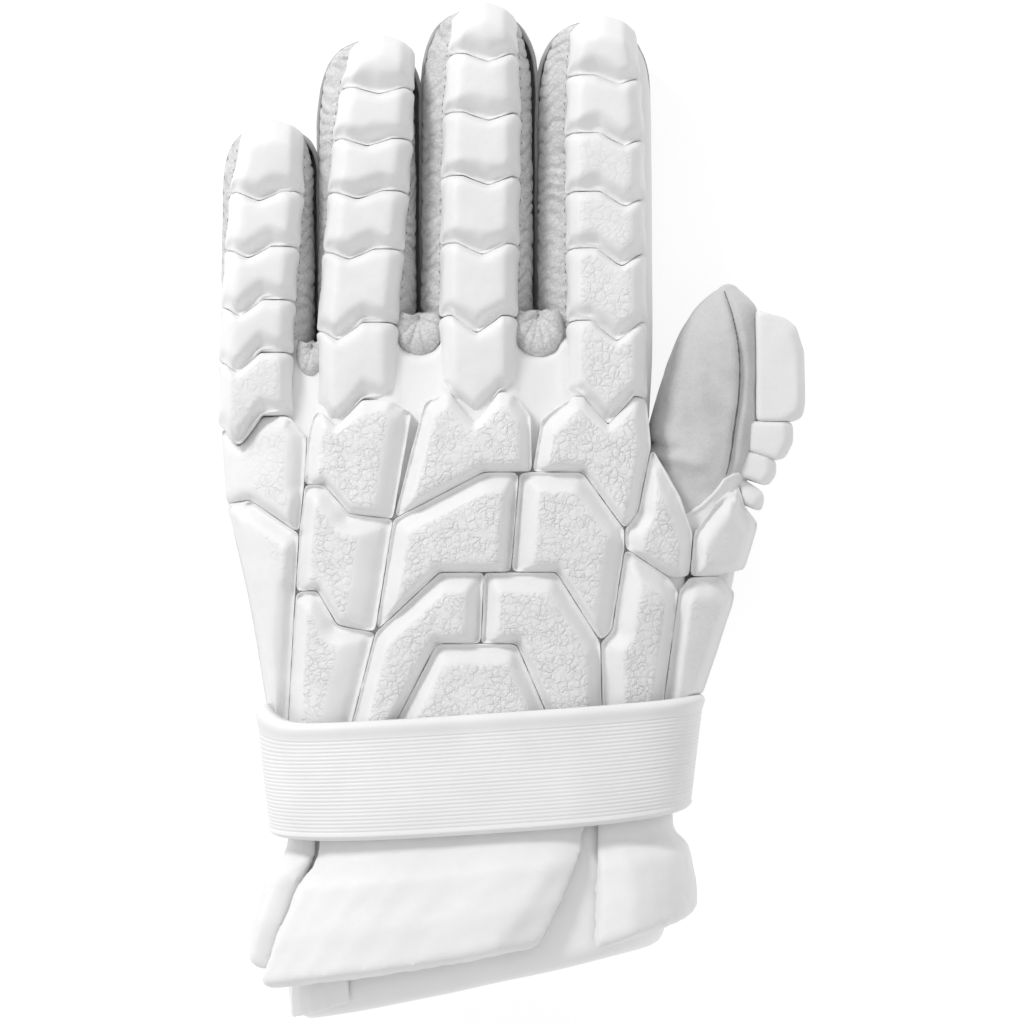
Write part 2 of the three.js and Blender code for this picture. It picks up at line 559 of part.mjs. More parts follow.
// A foam plate: an upright wall over its outline, a sloping rim, and a top that follows the foam's outer height.
function plate(corners) {
  const PIECE = 18;
  const foot = inset(corners, () => GROOVE / 2);
  const rimOf = inset(corners, () => GROOVE / 2 + CHAMFER);
  const wall = split(foot, PIECE);
  const counts = foot.map(([x, y], n) => {
    const [nextX, nextY] = foot[(n + 1) % foot.length];
    return Math.max(1, Math.round(Math.hypot(nextX - x, nextY - y) / PIECE));
  });
  const rim = rimOf.flatMap(([x, y], n) => {
    const [nextX, nextY] = rimOf[(n + 1) % rimOf.length];
    return Array.from({ length: counts[n] }, (_, k) => [x + ((nextX - x) * k) / counts[n], y + ((nextY - y) * k) / counts[n]]);
  });
  const count = wall.length;
  const points = [
    ...wall.map(([x, y]) => new THREE.Vector3(x, y, PAD_FOOT)),
    ...wall.map(([x, y]) => new THREE.Vector3(x, y, Math.max(foamTop(x, y) - CHAMFER_DROP, PAD_FOOT + CHAMFER))),
    ...rim.map(([x, y]) => new THREE.Vector3(x, y, Math.max(foamTop(x, y), PAD_FOOT + CHAMFER + CHAMFER_DROP))),
  ];
  const faces = [];
  for (let ring = 0; ring < 2; ring++) {
    for (let n = 0; n < count; n++) {
      const [p, q] = [ring * count + n, ring * count + ((n + 1) % count)];
      faces.push(p, q, q + count, p, q + count, p + count);
    }
  }
  for (const [p, q, r] of ears(wall)) faces.push(p, r, q);
  for (const [p, q, r] of ears(rim)) faces.push(p + 2 * count, q + 2 * count, r + 2 * count);
  return solidOf(points, faces);
}

// The middle and the half width of a finger's pads at a share of its length: they lean from LEAN_FROM on and get
// narrower near the tip.
function padAt(finger, along) {
  const LEAN_FROM = 0.1;
  const UPRIGHT_AT = 0.43; // where a leaning pad is in the middle of its finger
  const NARROW_FROM = 0.7;
  const NARROWER = 0.17;
  const lean = Math.max(along, LEAN_FROM) - UPRIGHT_AT;
  const narrow = Math.max(along - NARROW_FROM, 0) / (1 - NARROW_FROM);
  return {
    middle: finger.padCentreX + finger.padLean * finger.width * lean,
    half: finger.padHalf * (1 - NARROWER * narrow),
  };
}

// Where a finger's groove crosses: its left end, its notch and its right end.
function grooveLine(finger, groove) {
  const y = crotchY + groove.along * finger.length;
  const notchY = y - groove.notch * finger.length;
  const { middle, half } = padAt(finger, groove.along);
  return [[middle - half, y], [middle + groove.shift * half, notchY], [middle + half, y]];
}

// The glove's middle at the wrist, and the strap's front edge on the little-finger side.
const wristX = planX(0.103);
const strapLeftY = planY(-0.01);

// Points round the wrist, from one angle to another. The angles run from the thumb side over the back. skew is how
// much further forward the thumb side lies over the width skewOver, and bow how far the back sags towards the cuff.
function wristArc({ count, halfX, low, high, y, skew, skewOver, bow = 0, from = 0, to = 360, power = 2.6 }) {
  const steps = to - from === 360 ? count : Math.max(count - 1, 1);
  return Array.from({ length: count }, (_, n) => {
    const angle = THREE.MathUtils.degToRad(from + ((to - from) * n) / steps);
    const [c, s] = [Math.cos(angle), Math.sin(angle)];
    const x = Math.sign(c) * Math.abs(c) ** (2 / power);
    const z = Math.sign(s) * Math.abs(s) ** (2 / power);
    const forward = skew * ((x * halfX) / skewOver + 0.5) - bow * Math.max(s, 0);
    return new THREE.Vector3(wristX + x * halfX, y + forward, (low + high) / 2 + (z * (high - low)) / 2);
  });
}

// A closed band from stations with an outer and an inner ring each.
function band(stations) {
  const rings = [...stations.map((station) => station.outer), ...stations.map((station) => station.inner).reverse()];
  const count = rings[0].length;
  const faces = [];
  for (let r = 0; r < rings.length; r++) {
    const nextRing = (r + 1) % rings.length;
    for (let n = 0; n < count; n++) {
      const next = (n + 1) % count;
      const [p, q] = [r * count + n, r * count + next];
      faces.push(p, q, nextRing * count + next, p, nextRing * count + next, nextRing * count + n);
    }
  }
  return solidOf(rings.flat(), faces);
}

// The elastic strap lies over the pads' ends in front and the flaps' roots behind.
const strapBackTop = CUFF_UNDERSIDE + CUFF_HEIGHT * 1.02 + FLAP_ROOT + 2 * CLEARANCE + FACET_SAG;
function strapRing(share, grow) {
  const top = THREE.MathUtils.lerp(HAND_HEIGHT + CLEARANCE, strapBackTop, smooth(THREE.MathUtils.clamp(share, 0, 1)));
  return wristArc({
    count: 24,
    halfX: (STRAP_SPAN - STRAP_TAPER * share) / 2 - STRAP_THICKNESS + grow,
    low: STRAP_THICKNESS - grow,
    high: top + grow,
    y: strapLeftY - STRAP_WIDTH * share,
    skew: STRAP_SKEW,
    skewOver: STRAP_SPAN,
    bow: STRAP_BOW * (0.3 + 0.7 * share),
    power: 3,
  });
}
const STRAP_SECTIONS = [
  { share: 0, thick: 0.5 },
  { share: 0.05, thick: 1 },
  { share: 0.5, thick: 1 },
  { share: 0.95, thick: 1 },
  { share: 1, thick: 0.5 },
];

// The strap and everything outside it, grown by the pads' gap, so that what lies under the strap stays inside it.
function strapRings(grow, front, back) {
  const beyond = { "-1": -front / STRAP_WIDTH, 0: 0, 1: back / STRAP_WIDTH };
  return STRAP_SECTIONS.map(({ share }, n) => strapRing(share + beyond[endSide(n, STRAP_SECTIONS)], grow));
}
const roundStrap = loft(strapRings(STRAP_SPAN / 2, PAD_SEAT, PAD_SEAT + STRAP_BOW));
const strapSpace = roundStrap.subtract(loft(strapRings(-PAD_SEAT, STRAP_BOW, 2 * STRAP_BOW)));

for (const { name, finger, corners } of PLATES) {
  const outline = corners.split(" ").map((corner) => [planX(CORNERS[corner][0]), planY(CORNERS[corner][1])]);
  const owner = FINGERS.find((one) => one.name === finger);
  const start = owner ? grooveLine(owner, owner.grooves[owner.grooves.length - 1]) : [];
  place(name, plate([...start, ...outline]).subtract(padSeat).subtract(strapSpace), WHITE_FOAM);
}

// A foam block across a finger between two grooves: its top is flat over the middle and bevelled at the sides.
function fingerBlock(finger, front, back, isTip) {
  const BEVEL_AT = 0.63; // where the side bevels start, as a share of the pad's half-width
  const BEVEL_DROP = 0.42; // how far the sides drop, as a share of the pad's thickness
  const SIDE_REACH = 0.55; // how far the pad wraps down the sleeve, as a share of the sleeve's height
  const columns = [-1, -BEVEL_AT, 0, BEVEL_AT, 1];
  const rings = columns.map((column, n) => {
    const lineX = (line) => (column === 0 ? line[1][0] : (line[0][0] * (1 - column) + line[2][0] * (1 + column)) / 2);
    const lineY = (line) => {
      if (n === 0) return line[0][1];
      if (n === columns.length - 1) return line[2][1];
      const x = lineX(line);
      const [p, q] = column === 0 || x < line[1][0] ? [line[0], line[1]] : [line[1], line[2]];
      return column === 0 ? line[1][1] : THREE.MathUtils.mapLinear(x, p[0], q[0], p[1], q[1]);
    };
    const [frontX, backX] = [lineX(front), lineX(back)];
    const pull = isTip ? TIP_CAP_INSET * finger.padHalf * column * column * 2 : 0;
    const frontY = lineY(front) - GROOVE / 2 - pull;
    const backY = lineY(back) + GROOVE / 2;
    const sideDrop = Math.abs(column) === 1 ? FINGER_PAD_THICKNESS * BEVEL_DROP : 0;
    const topAt = (y) => fingerAt(finger, (y - crotchY) / finger.length).high + FINGER_PAD_THICKNESS - sideDrop;
    const frontSlope = isTip ? CHAMFER * 2.4 : CHAMFER * 0.7;
    const frontDrop = isTip ? FINGER_PAD_THICKNESS * 0.9 : CHAMFER_DROP * 0.7;
    const low = fingerAt(finger, (backY - crotchY) / finger.length).high - FINGER_HEIGHT * SIDE_REACH;
    const frontLow = isTip ? fingerAt(finger, 1).high - 1 : low;
    const inwards = Math.abs(column) === 1 ? -Math.sign(column) * CHAMFER * 0.5 : 0;
    const capTop = isTip ? topAt(backY) - FINGER_PAD_THICKNESS * 0.12 : topAt(frontY - frontSlope);
    return [
      new THREE.Vector3(frontX, frontY, frontLow),
      new THREE.Vector3(frontX, frontY, (isTip ? capTop : topAt(frontY)) - frontDrop),
      new THREE.Vector3(frontX + inwards, frontY - frontSlope, capTop),
      new THREE.Vector3(backX + inwards, backY + CHAMFER, topAt(backY + CHAMFER)),
      new THREE.Vector3(backX, backY, topAt(backY) - CHAMFER_DROP),
      new THREE.Vector3(backX, backY, low),
    ];
  });
  return loft(rings);
}

for (const finger of FINGERS) {
  const lines = [{ along: 1, notch: 0, shift: 0 }, ...finger.grooves].map((groove) => grooveLine(finger, groove));
  for (let n = 0; n < lines.length - 1; n++) {
    const name = n === 0 ? `${finger.name}_tip_pad` : `${finger.name}_pad_${n + 1}`;
    place(name, fingerBlock(finger, lines[n], lines[n + 1], n === 0).subtract(padSeat), WHITE_FOAM);
  }
}

// The thumb's foam blocks stand on edge beside it.
for (const { name, corners } of THUMB_PADS) {
  const outline = inset(corners.map(([reach, along]) => [thumbX(reach), thumbY(along)]), () => CLEARANCE / 2);
  const drawn = inset(outline, ([side]) => (side < -0.3 ? CHAMFER : 0.2));
  const levels = [
    [THUMB_PAD_FOOT, drawn],
    [THUMB_PAD_FOOT + CHAMFER, outline],
    [THUMB_PAD_TOP - CHAMFER, outline],
    [THUMB_PAD_TOP, drawn],
  ];
  const rings = levels.map(([z, pairs]) => pairs.map(([x, y]) => new THREE.Vector3(x, y, z)));
  place(name, loft(rings).subtract(padSeat), WHITE_FOAM);
}

// A ring round the cuff at a share of its length, grown from its padded outside.
const cuffFrontY = planY(HAND_SECTIONS[0].v) - CLEARANCE;
function cuffArc(along, grow, arc) {
  const row = between(CUFF_SECTIONS, "along", along);
  return wristArc({
    halfX: (CUFF_WIDTH * row.width) / 2 + grow,
    low: CUFF_UNDERSIDE * row.under - grow,
    high: CUFF_UNDERSIDE + CUFF_HEIGHT * row.top + grow,
    y: cuffFrontY - CUFF_LENGTH * along,
    skew: CUFF_SKEW * along,
    skewOver: CUFF_WIDTH,
    ...arc,
  });
}
const cuff = band(
  CUFF_SECTIONS.map(({ along, wall, drawn }) => ({
    outer: cuffArc(along, -CUFF_THICKNESS * drawn, { count: 24 }),
    inner: cuffArc(along, -CUFF_THICKNESS * (drawn + wall), { count: 24 }),
  })),
);
place("cuff_band", cuff, WHITE_CLOTH);
const cuffSpace = loft(CUFF_SECTIONS.map(({ along }) => cuffArc(along, CLEARANCE * 1.2, { count: 24 })));

const strap = STRAP_SECTIONS.map(({ share, thick }) => ({
  outer: strapRing(share, STRAP_THICKNESS * thick),
  inner: strapRing(share, 0),
}));
place("wrist_strap", band(strap), STRAP_BAND);

// The flaps hang from under the strap over the cuff.
const flapFront = (cuffFrontY - strapLeftY + FLAP_SETBACK) / CUFF_LENGTH;
for (const { name, front, free, reach, stand } of FLAPS) {
  const [firstReach, lastReach] = reach;
  const sections = FLAP_SECTIONS.map(({ way, thick, off, turn }) => {
    const from = THREE.MathUtils.lerp(front[0], free[0], turn);
    const to = THREE.MathUtils.lerp(front[1], free[1], turn);
    const COUNT = 9;
    const edge = Array.from({ length: COUNT }, (_, n) => {
      const share = n / (COUNT - 1);
      const end = THREE.MathUtils.lerp(firstReach, lastReach, share);
      const along = THREE.MathUtils.lerp(flapFront, end, way);
      const angle = THREE.MathUtils.lerp(from, to, share);
      const round = n === 0 || n === COUNT - 1 ? 0.55 : 1; // rounds the flap's side edges
      const seat = CLEARANCE + FACET_SAG + off * stand;
      const at = (grow) => cuffArc(along, grow, { count: 1, from: angle, to: angle })[0];
      return { out: at(seat + FLAP_THICKNESS * thick * round), into: at(seat) };
    });
    return [...edge.map(({ out }) => out), ...edge.map(({ into }) => into).reverse()];
  });
  place(name, loft(sections, "strips").subtract(cuffSpace).subtract(strapSpace), WHITE_FOAM);
}

// The strip of binding round the cuff's rear edge at the little-finger corner.
const BINDING = { from: 128, to: 196, front: 0.89, back: 0.985 };
const bindingSections = [BINDING.front, (BINDING.front + BINDING.back) / 2, BINDING.back].map((along) => {
  const at = (grow) => cuffArc(along, grow, { count: 8, from: BINDING.from, to: BINDING.to });
  const seat = CLEARANCE + FACET_SAG;
  return [...at(seat + BINDING_THICKNESS), ...at(seat).reverse()];
});
place("cuff_binding", loft(bindingSections, "strips").subtract(cuffSpace), WHITE_CLOTH);

export default glove;
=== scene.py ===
"""The looks of a field player's lacrosse glove for the left hand, lying palm down.

Everything is in metres: +X points to the thumb side, +Y to the fingertips, +Z out of the back of the hand.
Tables hold shares of named sizes. A share u runs across the hand from its middle line towards the thumb, and a
share v along it from the strap's front edge to the finger crotches.
"""
import math

import bmesh
import bpy
import numpy as np
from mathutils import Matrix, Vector, noise
from mathutils.bvhtree import BVHTree


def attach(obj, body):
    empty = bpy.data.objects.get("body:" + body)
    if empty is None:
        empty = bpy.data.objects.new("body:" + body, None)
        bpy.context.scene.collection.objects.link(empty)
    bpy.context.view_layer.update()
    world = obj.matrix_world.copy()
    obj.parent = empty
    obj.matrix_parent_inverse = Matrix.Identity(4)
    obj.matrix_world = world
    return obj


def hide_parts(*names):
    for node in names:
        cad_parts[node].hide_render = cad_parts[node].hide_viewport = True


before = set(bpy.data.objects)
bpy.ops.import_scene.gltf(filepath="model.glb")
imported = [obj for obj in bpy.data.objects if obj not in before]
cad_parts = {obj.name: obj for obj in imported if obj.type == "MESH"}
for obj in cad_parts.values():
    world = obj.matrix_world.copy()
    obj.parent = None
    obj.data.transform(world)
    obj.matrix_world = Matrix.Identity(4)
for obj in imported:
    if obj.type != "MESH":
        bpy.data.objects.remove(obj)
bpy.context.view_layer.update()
MM = 0.001

# Sizes, as in the glove's frame
HAND_LENGTH = 120 * MM
PALM_CENTRE = 0.45
HAND_HEIGHT = 58 * MM
FINGER_PAD_THICKNESS = 10 * MM
PAD_EDGE_HEIGHT = 17 * MM
FINGER_GAP = 0.7 * MM
FINGER_HEIGHT = 28 * MM
FINGER_RISE = 7 * MM
TIP_RISE = 2 * MM
SEAM_HEIGHT = 0.42
THUMB_LENGTH = 102 * MM
THUMB_WIDTH = 34.5 * MM
THUMB_HEIGHT = 35 * MM
THUMB_LIFT = 1.5 * MM
THUMB_ROOT = 0.324


def table(columns, *rows):
    """The rows as dictionaries, by the names of their columns."""
    return [dict(zip(columns.split(), row)) for row in rows]


# Each finger's pads have their width, side shift and lean towards the thumb as shares of the finger's width
FINGERS = table(
    "name width length pad shift lean root",
    ("little", 30.5, 74, 0.8, -0.085, 0.17, -0.1),
    ("ring", 33, 102, 0.8, -0.03, 0.24, -0.02),
    ("middle", 37.3, 112.8, 0.69, 0.01, 0.05, 0.0),
    ("index", 36.3, 108.3, 0.72, 0.1, -0.03, 0.0),
)
FINGER_SECTIONS = table(
    "along width height rise",
    (-0.2, 0.94, 1.02, 0.0),
    (0.0, 1.0, 1.0, 0.1),
    (0.3, 1.0, 0.95, 0.35),
    (0.6, 0.99, 0.91, 0.65),
    (0.82, 0.95, 0.85, 0.85),
    (0.93, 0.78, 0.72, 1.1),
    (0.985, 0.46, 0.42, 2.2),
)
THUMB_SECTIONS = table(
    "along left right height",
    (0.0, 0.12, 0.78, 0.9),
    (0.19, -0.02, 0.86, 1.0),
    (0.38, -0.02, 0.9, 1.0),
    (0.51, 0.0, 1.0, 1.0),
    (0.64, 0.09, 1.02, 0.97),
    (0.8, 0.25, 1.02, 0.88),
    (0.92, 0.46, 0.98, 0.66),
    (0.99, 0.66, 0.86, 0.26),
)
FOAM_SECTIONS = table(
    "v left right top",
    (-0.05, -0.41, 0.64, 1.0),
    (0.3, -0.46, 0.74, 0.99),
    (0.6, -0.515, 0.79, 0.96),
    (0.8, -0.525, 0.62, 0.92),
    (1.05, -0.525, 0.56, 0.85),
)

for finger in FINGERS:
    finger["width"] *= MM
    finger["length"] *= MM
HAND_WIDTH = sum(finger["width"] for finger in FINGERS) + FINGER_GAP * (len(FINGERS) - 1)


def plan_x(u):
    return u * HAND_WIDTH


def plan_y(v):
    return (v - PALM_CENTRE) * HAND_LENGTH


CROTCH_Y = plan_y(1)
edge = -HAND_WIDTH / 2
for finger in FINGERS:
    finger["x"] = edge + finger["width"] / 2
    finger["pad_x"] = finger["x"] + finger["shift"] * finger["width"]
    finger["pad_half"] = finger["pad"] * finger["width"] / 2
    edge += finger["width"] + FINGER_GAP


def lerp(a, b, share):
    return a + (b - a) * share


def smooth_step(low, high, value):
    share = min(max((value - low) / (high - low), 0.0), 1.0)
    return share * share * (3 - 2 * share)


def between(rows, key, place):
    """A row of a table of sections at a place along its key, on a smooth curve through the rows."""
    last = len(rows) - 1
    n = 0
    while n < last - 1 and rows[n + 1][key] < place:
        n += 1
    a, b = rows[n], rows[n + 1]
    before, after = rows[max(n - 1, 0)], rows[min(n + 2, last)]
    step = b[key] - a[key]
    share = min(max((place - a[key]) / step, 0.0), 1.0)
    made = {}
    for column in a:
        slope_a = (b[column] - before[column]) / (b[key] - before[key]) * step
        slope_b = (after[column] - a[column]) / (after[key] - a[key]) * step
        s2, s3 = share * share, share * share * share
        made[column] = (
            (2 * s3 - 3 * s2 + 1) * a[column]
            + (s3 - 2 * s2 + share) * slope_a
            + (3 * s2 - 2 * s3) * b[column]
            + (s3 - s2) * slope_b
        )
    return made


def oval(centre_x, centre_z, half_x, half_z, power, angle):
    """A point of a rounded box in the XZ plane, with its angle in radians from +X over the top."""
    c, s = math.cos(angle), math.sin(angle)
    x = centre_x + half_x * math.copysign(abs(c) ** (2 / power), c)
    z = centre_z + half_z * math.copysign(abs(s) ** (2 / power), s)
    return x, z


def turns_round(count):
    return [2 * math.pi * n / count for n in range(count)]


# Meshes
SKIN_WALL = 1.2 * MM


def add_object(name, mesh, material):
    made = bpy.data.objects.new(name, mesh)
    bpy.context.scene.collection.objects.link(made)
    mesh.materials.clear()
    mesh.materials.append(material)
    smooth(mesh)
    return made


def smooth(mesh):
    for polygon in mesh.polygons:
        polygon.use_smooth = True


def mesh_of(name, points, faces):
    mesh = bpy.data.meshes.new(name)
    mesh.from_pydata([tuple(p) for p in points], [], faces)
    mesh.update()
    return mesh


def grid_mesh(name, rows, closed=False):
    """A mesh through rows of equally many points; closed joins each row's last point to its first."""
    count = len(rows[0])
    points = [p for row in rows for p in row]
    faces = []
    for r in range(len(rows) - 1):
        for n in range(count if closed else count - 1):
            a, b = r * count + n, r * count + (n + 1) % count
            faces.append((a, b, b + count, a + count))
    return mesh_of(name, points, faces)


def coordinates(mesh):
    flat = np.empty(len(mesh.vertices) * 3, dtype=np.float32)
    mesh.vertices.foreach_get("co", flat)
    return flat.reshape(-1, 3).astype(np.float64)


def set_coordinates(mesh, points):
    mesh.vertices.foreach_set("co", points.astype(np.float32).ravel())
    mesh.update()


def normals(mesh):
    flat = np.empty(len(mesh.vertices) * 3, dtype=np.float32)
    mesh.vertex_normals.foreach_get("vector", flat)
    return flat.reshape(-1, 3).astype(np.float64)


def edges_of(mesh):
    flat = np.empty(len(mesh.edges) * 2, dtype=np.int32)
    mesh.edges.foreach_get("vertices", flat)
    return flat.reshape(-1, 2)


def relaxed(points, edges, rounds):
    """The points after rounds of moving each one halfway to the middle of its neighbours."""
    counts = np.bincount(edges.ravel(), minlength=len(points)).astype(np.float64)[:, None]
    counts[counts == 0] = 1
    for _ in range(rounds):
        total = np.zeros_like(points)
        for axis in range(3):
            for here, there in ((0, 1), (1, 0)):
                weights = points[edges[:, there], axis]
                total[:, axis] += np.bincount(edges[:, here], weights=weights, minlength=len(points))
        points = points + 0.5 * (total / counts - points)
    return points


def set_attribute(mesh, name, values):
    layer = mesh.attributes.new(name, "FLOAT", "POINT")
    layer.data.foreach_set("value", np.asarray(values, dtype=np.float32))


def applied(piece):
    """Applies a piece's modifiers to its mesh."""
    graph = bpy.context.evaluated_depsgraph_get()
    mesh = bpy.data.meshes.new_from_object(piece.evaluated_get(graph))
    old = piece.data
    piece.modifiers.clear()
    piece.data = mesh
    bpy.data.meshes.remove(old)
    return piece


def remeshed(name, node, voxel, material):
    """A piece over a node's solid, with even faces of a voxel's size."""
    form = bmesh.new()
    form.from_mesh(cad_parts[node].data)
    bmesh.ops.remove_doubles(form, verts=form.verts, dist=1e-6)
    mesh = bpy.data.meshes.new(name)
    form.to_mesh(mesh)
    form.free()
    piece = add_object(name, mesh, material)
    grid = piece.modifiers.new("voxels", "REMESH")
    grid.mode = "VOXEL"
    grid.voxel_size = voxel
    return applied(piece)


def thinned(piece, keep):
    fewer = piece.modifiers.new("fewer", "DECIMATE")
    fewer.ratio = keep
    smooth(applied(piece).data)


def shell(piece):
    """Gives a sheet its leather's or cloth's thickness, inwards."""
    wall = piece.modifiers.new("wall", "SOLIDIFY")
    wall.thickness = SKIN_WALL
    wall.offset = -1
    smooth(applied(piece).data)
    return piece


def push_out(mesh, bump):
    points, facing = coordinates(mesh), normals(mesh)
    push = np.array([bump(Vector(p), Vector(d)) for p, d in zip(points, facing)])
    set_coordinates(mesh, points + facing * push[:, None])


def stands_for(piece, slot, *nodes, fill=None):
    """Attaches a piece to the root body and hides the nodes that it replaces. Its slot is not used, and nor is
    its fill.
    """
    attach(piece, "root")
    if nodes:
        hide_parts(*nodes)
    return piece


# Materials
class Finish:
    """A material built node by node round its shader."""

    def __init__(self, name, grey, roughness, **sockets):
        self.material = bpy.data.materials.new(name)
        self.material.use_nodes = True
        self.tree = self.material.node_tree
        self.shader = self.tree.nodes["Principled BSDF"]
        self.shader.inputs["Base Color"].default_value = (grey, grey, grey, 1)
        self.shader.inputs["Roughness"].default_value = roughness
        for socket, value in sockets.items():
            self.shader.inputs[socket.replace("_", " ")].default_value = value
        self.place = self.node("ShaderNodeTexCoord").outputs["Object"]
        self.bumps = None

    def node(self, kind, inputs=None, **settings):
        made = self.tree.nodes.new(kind)
        for key, value in settings.items():
            setattr(made, key, value)
        for key, value in (inputs or {}).items():
            if isinstance(value, bpy.types.NodeSocket):
                self.tree.links.new(value, made.inputs[key])
            else:
                made.inputs[key].default_value = value
        return made

    def math(self, operation, a, b=0.0):
        return self.node("ShaderNodeMath", {0: a, 1: b}, operation=operation).outputs[0]

    def rest(self, share):
        """1 less a share."""
        return self.math("SUBTRACT", 1.0, share)

    def noise(self, scale, detail=3.0, roughness=0.5):
        inputs = {"Vector": self.place, "Scale": scale, "Detail": detail, "Roughness": roughness}
        return self.node("ShaderNodeTexNoise", inputs).outputs["Fac"]

    def scaled_place(self, x, y, z, place):
        inputs = {"Vector": place, "Scale": (x, y, z)}
        return self.node("ShaderNodeMapping", inputs).outputs["Vector"]

    def shifted_place(self, scale, amount):
        """Places pushed about by noise, so that cells and rows aren't straight."""
        inputs = {"Vector": self.place, "Scale": scale, "Detail": 2.0}
        push = self.node("ShaderNodeTexNoise", inputs).outputs["Color"]
        middle = self.vectors("SUBTRACT", {0: push, 1: (0.5, 0.5, 0.5)})
        by = self.vectors("SCALE", {0: middle, "Scale": amount})
        return self.vectors("ADD", {0: self.place, 1: by})

    def vectors(self, operation, inputs):
        return self.node("ShaderNodeVectorMath", inputs, operation=operation).outputs[0]

    def cells(self, scale, place):
        """The distance to the edge of uneven cells."""
        inputs = {"Vector": place, "Scale": scale, "Randomness": 1.0}
        return self.node("ShaderNodeTexVoronoi", inputs, feature="DISTANCE_TO_EDGE").outputs["Distance"]

    def ramp(self, factor, stops):
        made = self.node("ShaderNodeValToRGB", {"Fac": factor})
        band = made.color_ramp
        while len(band.elements) < len(stops):
            band.elements.new(0.5)
        for element, (position, value) in zip(band.elements, stops):
            element.position = position
            element.color = (value, value, value, 1)
        return made.outputs["Color"]

    def attribute(self, name):
        return self.node("ShaderNodeAttribute", attribute_name=name).outputs["Fac"]

    def mixed(self, factor, a, b):
        """A mix of two colours, each one a socket or a grey."""
        made = self.node("ShaderNodeMix", data_type="RGBA")
        sockets = [s for s in made.inputs if s.enabled]
        for socket, value in zip(sockets, (factor, a, b)):
            if isinstance(value, bpy.types.NodeSocket):
                self.tree.links.new(value, socket)
            elif socket.type == "RGBA":
                socket.default_value = (value, value, value, 1)
            else:
                socket.default_value = value
        return next(s for s in made.outputs if s.enabled)

    def bump(self, height, distance, strength=1.0):
        inputs = {"Height": height, "Distance": distance, "Strength": strength}
        if self.bumps is not None:
            inputs["Normal"] = self.bumps
        self.bumps = self.node("ShaderNodeBump", inputs).outputs["Normal"]
        self.tree.links.new(self.bumps, self.shader.inputs["Normal"])

    def color(self, socket):
        self.tree.links.new(socket, self.shader.inputs["Base Color"])

    def roughness(self, socket):
        self.tree.links.new(socket, self.shader.inputs["Roughness"])


def pad_leather():
    """White synthetic leather over foam, with embossed crackle as strong as the attribute grain."""
    made = Finish("white_pad_leather", 0.82, 0.6, Specular_IOR_Level=0.3)
    pushed = made.shifted_place(330.0, 0.0024)
    edge_distance = made.cells(370.0, pushed)
    islands = made.ramp(edge_distance, [(0.0, 0.0), (0.1, 0.55), (0.3, 1.0)])
    second = made.ramp(made.cells(640.0, made.shifted_place(600.0, 0.0014)), [(0.0, 0.0), (0.16, 1.0)])
    crackle = made.math("ADD", made.math("MULTIPLY", islands, 0.7), made.math("MULTIPLY", second, 0.3))
    broken = made.ramp(made.noise(210.0, 2.0), [(0.34, 0.45), (0.56, 1.0)])
    lines = made.rest(crackle)
    grain = made.math("MULTIPLY", made.math("MULTIPLY", lines, broken), made.attribute("grain"))
    made.bump(made.rest(grain), 0.46 * MM, 0.85)
    made.bump(made.noise(2200.0, 3.0, 0.6), 0.05 * MM, 0.5)
    made.bump(made.noise(95.0, 2.0), 0.5 * MM, 0.35)
    shade = made.ramp(made.noise(60.0, 4.0, 0.6), [(0.3, 0.79), (0.7, 0.84)])
    made.color(made.mixed(made.math("MULTIPLY", grain, 0.22), shade, 0.6))
    made.roughness(made.ramp(made.noise(700.0), [(0.3, 0.54), (0.7, 0.7)]))
    return made.material


def smooth_leather(name, dull, bright):
    made = Finish(name, bright, 0.5, Specular_IOR_Level=0.35)
    made.bump(made.noise(60.0, 2.0), 0.6 * MM, 0.25)
    made.bump(made.cells(1500.0, made.shifted_place(900.0, 0.0006)), 0.05 * MM, 0.35)
    made.color(made.ramp(made.noise(45.0, 4.0, 0.6), [(0.3, dull), (0.7, bright)]))
    made.roughness(made.ramp(made.noise(500.0), [(0.3, 0.46), (0.7, 0.6)]))
    return made.material


def base_cloth():
    made = Finish("white_base_cloth", 0.8, 0.85, Sheen_Weight=0.2)
    inputs = {"Vector": made.place, "Scale": 900.0, "Distortion": 1.0, "Detail": 1.0}
    warp = made.node("ShaderNodeTexWave", inputs)
    made.bump(warp.outputs["Fac"], 0.06 * MM, 0.5)
    made.bump(made.noise(120.0, 3.0), 0.6 * MM, 0.4)
    made.color(made.ramp(made.noise(80.0, 4.0, 0.6), [(0.3, 0.76), (0.7, 0.82)]))
    return made.material


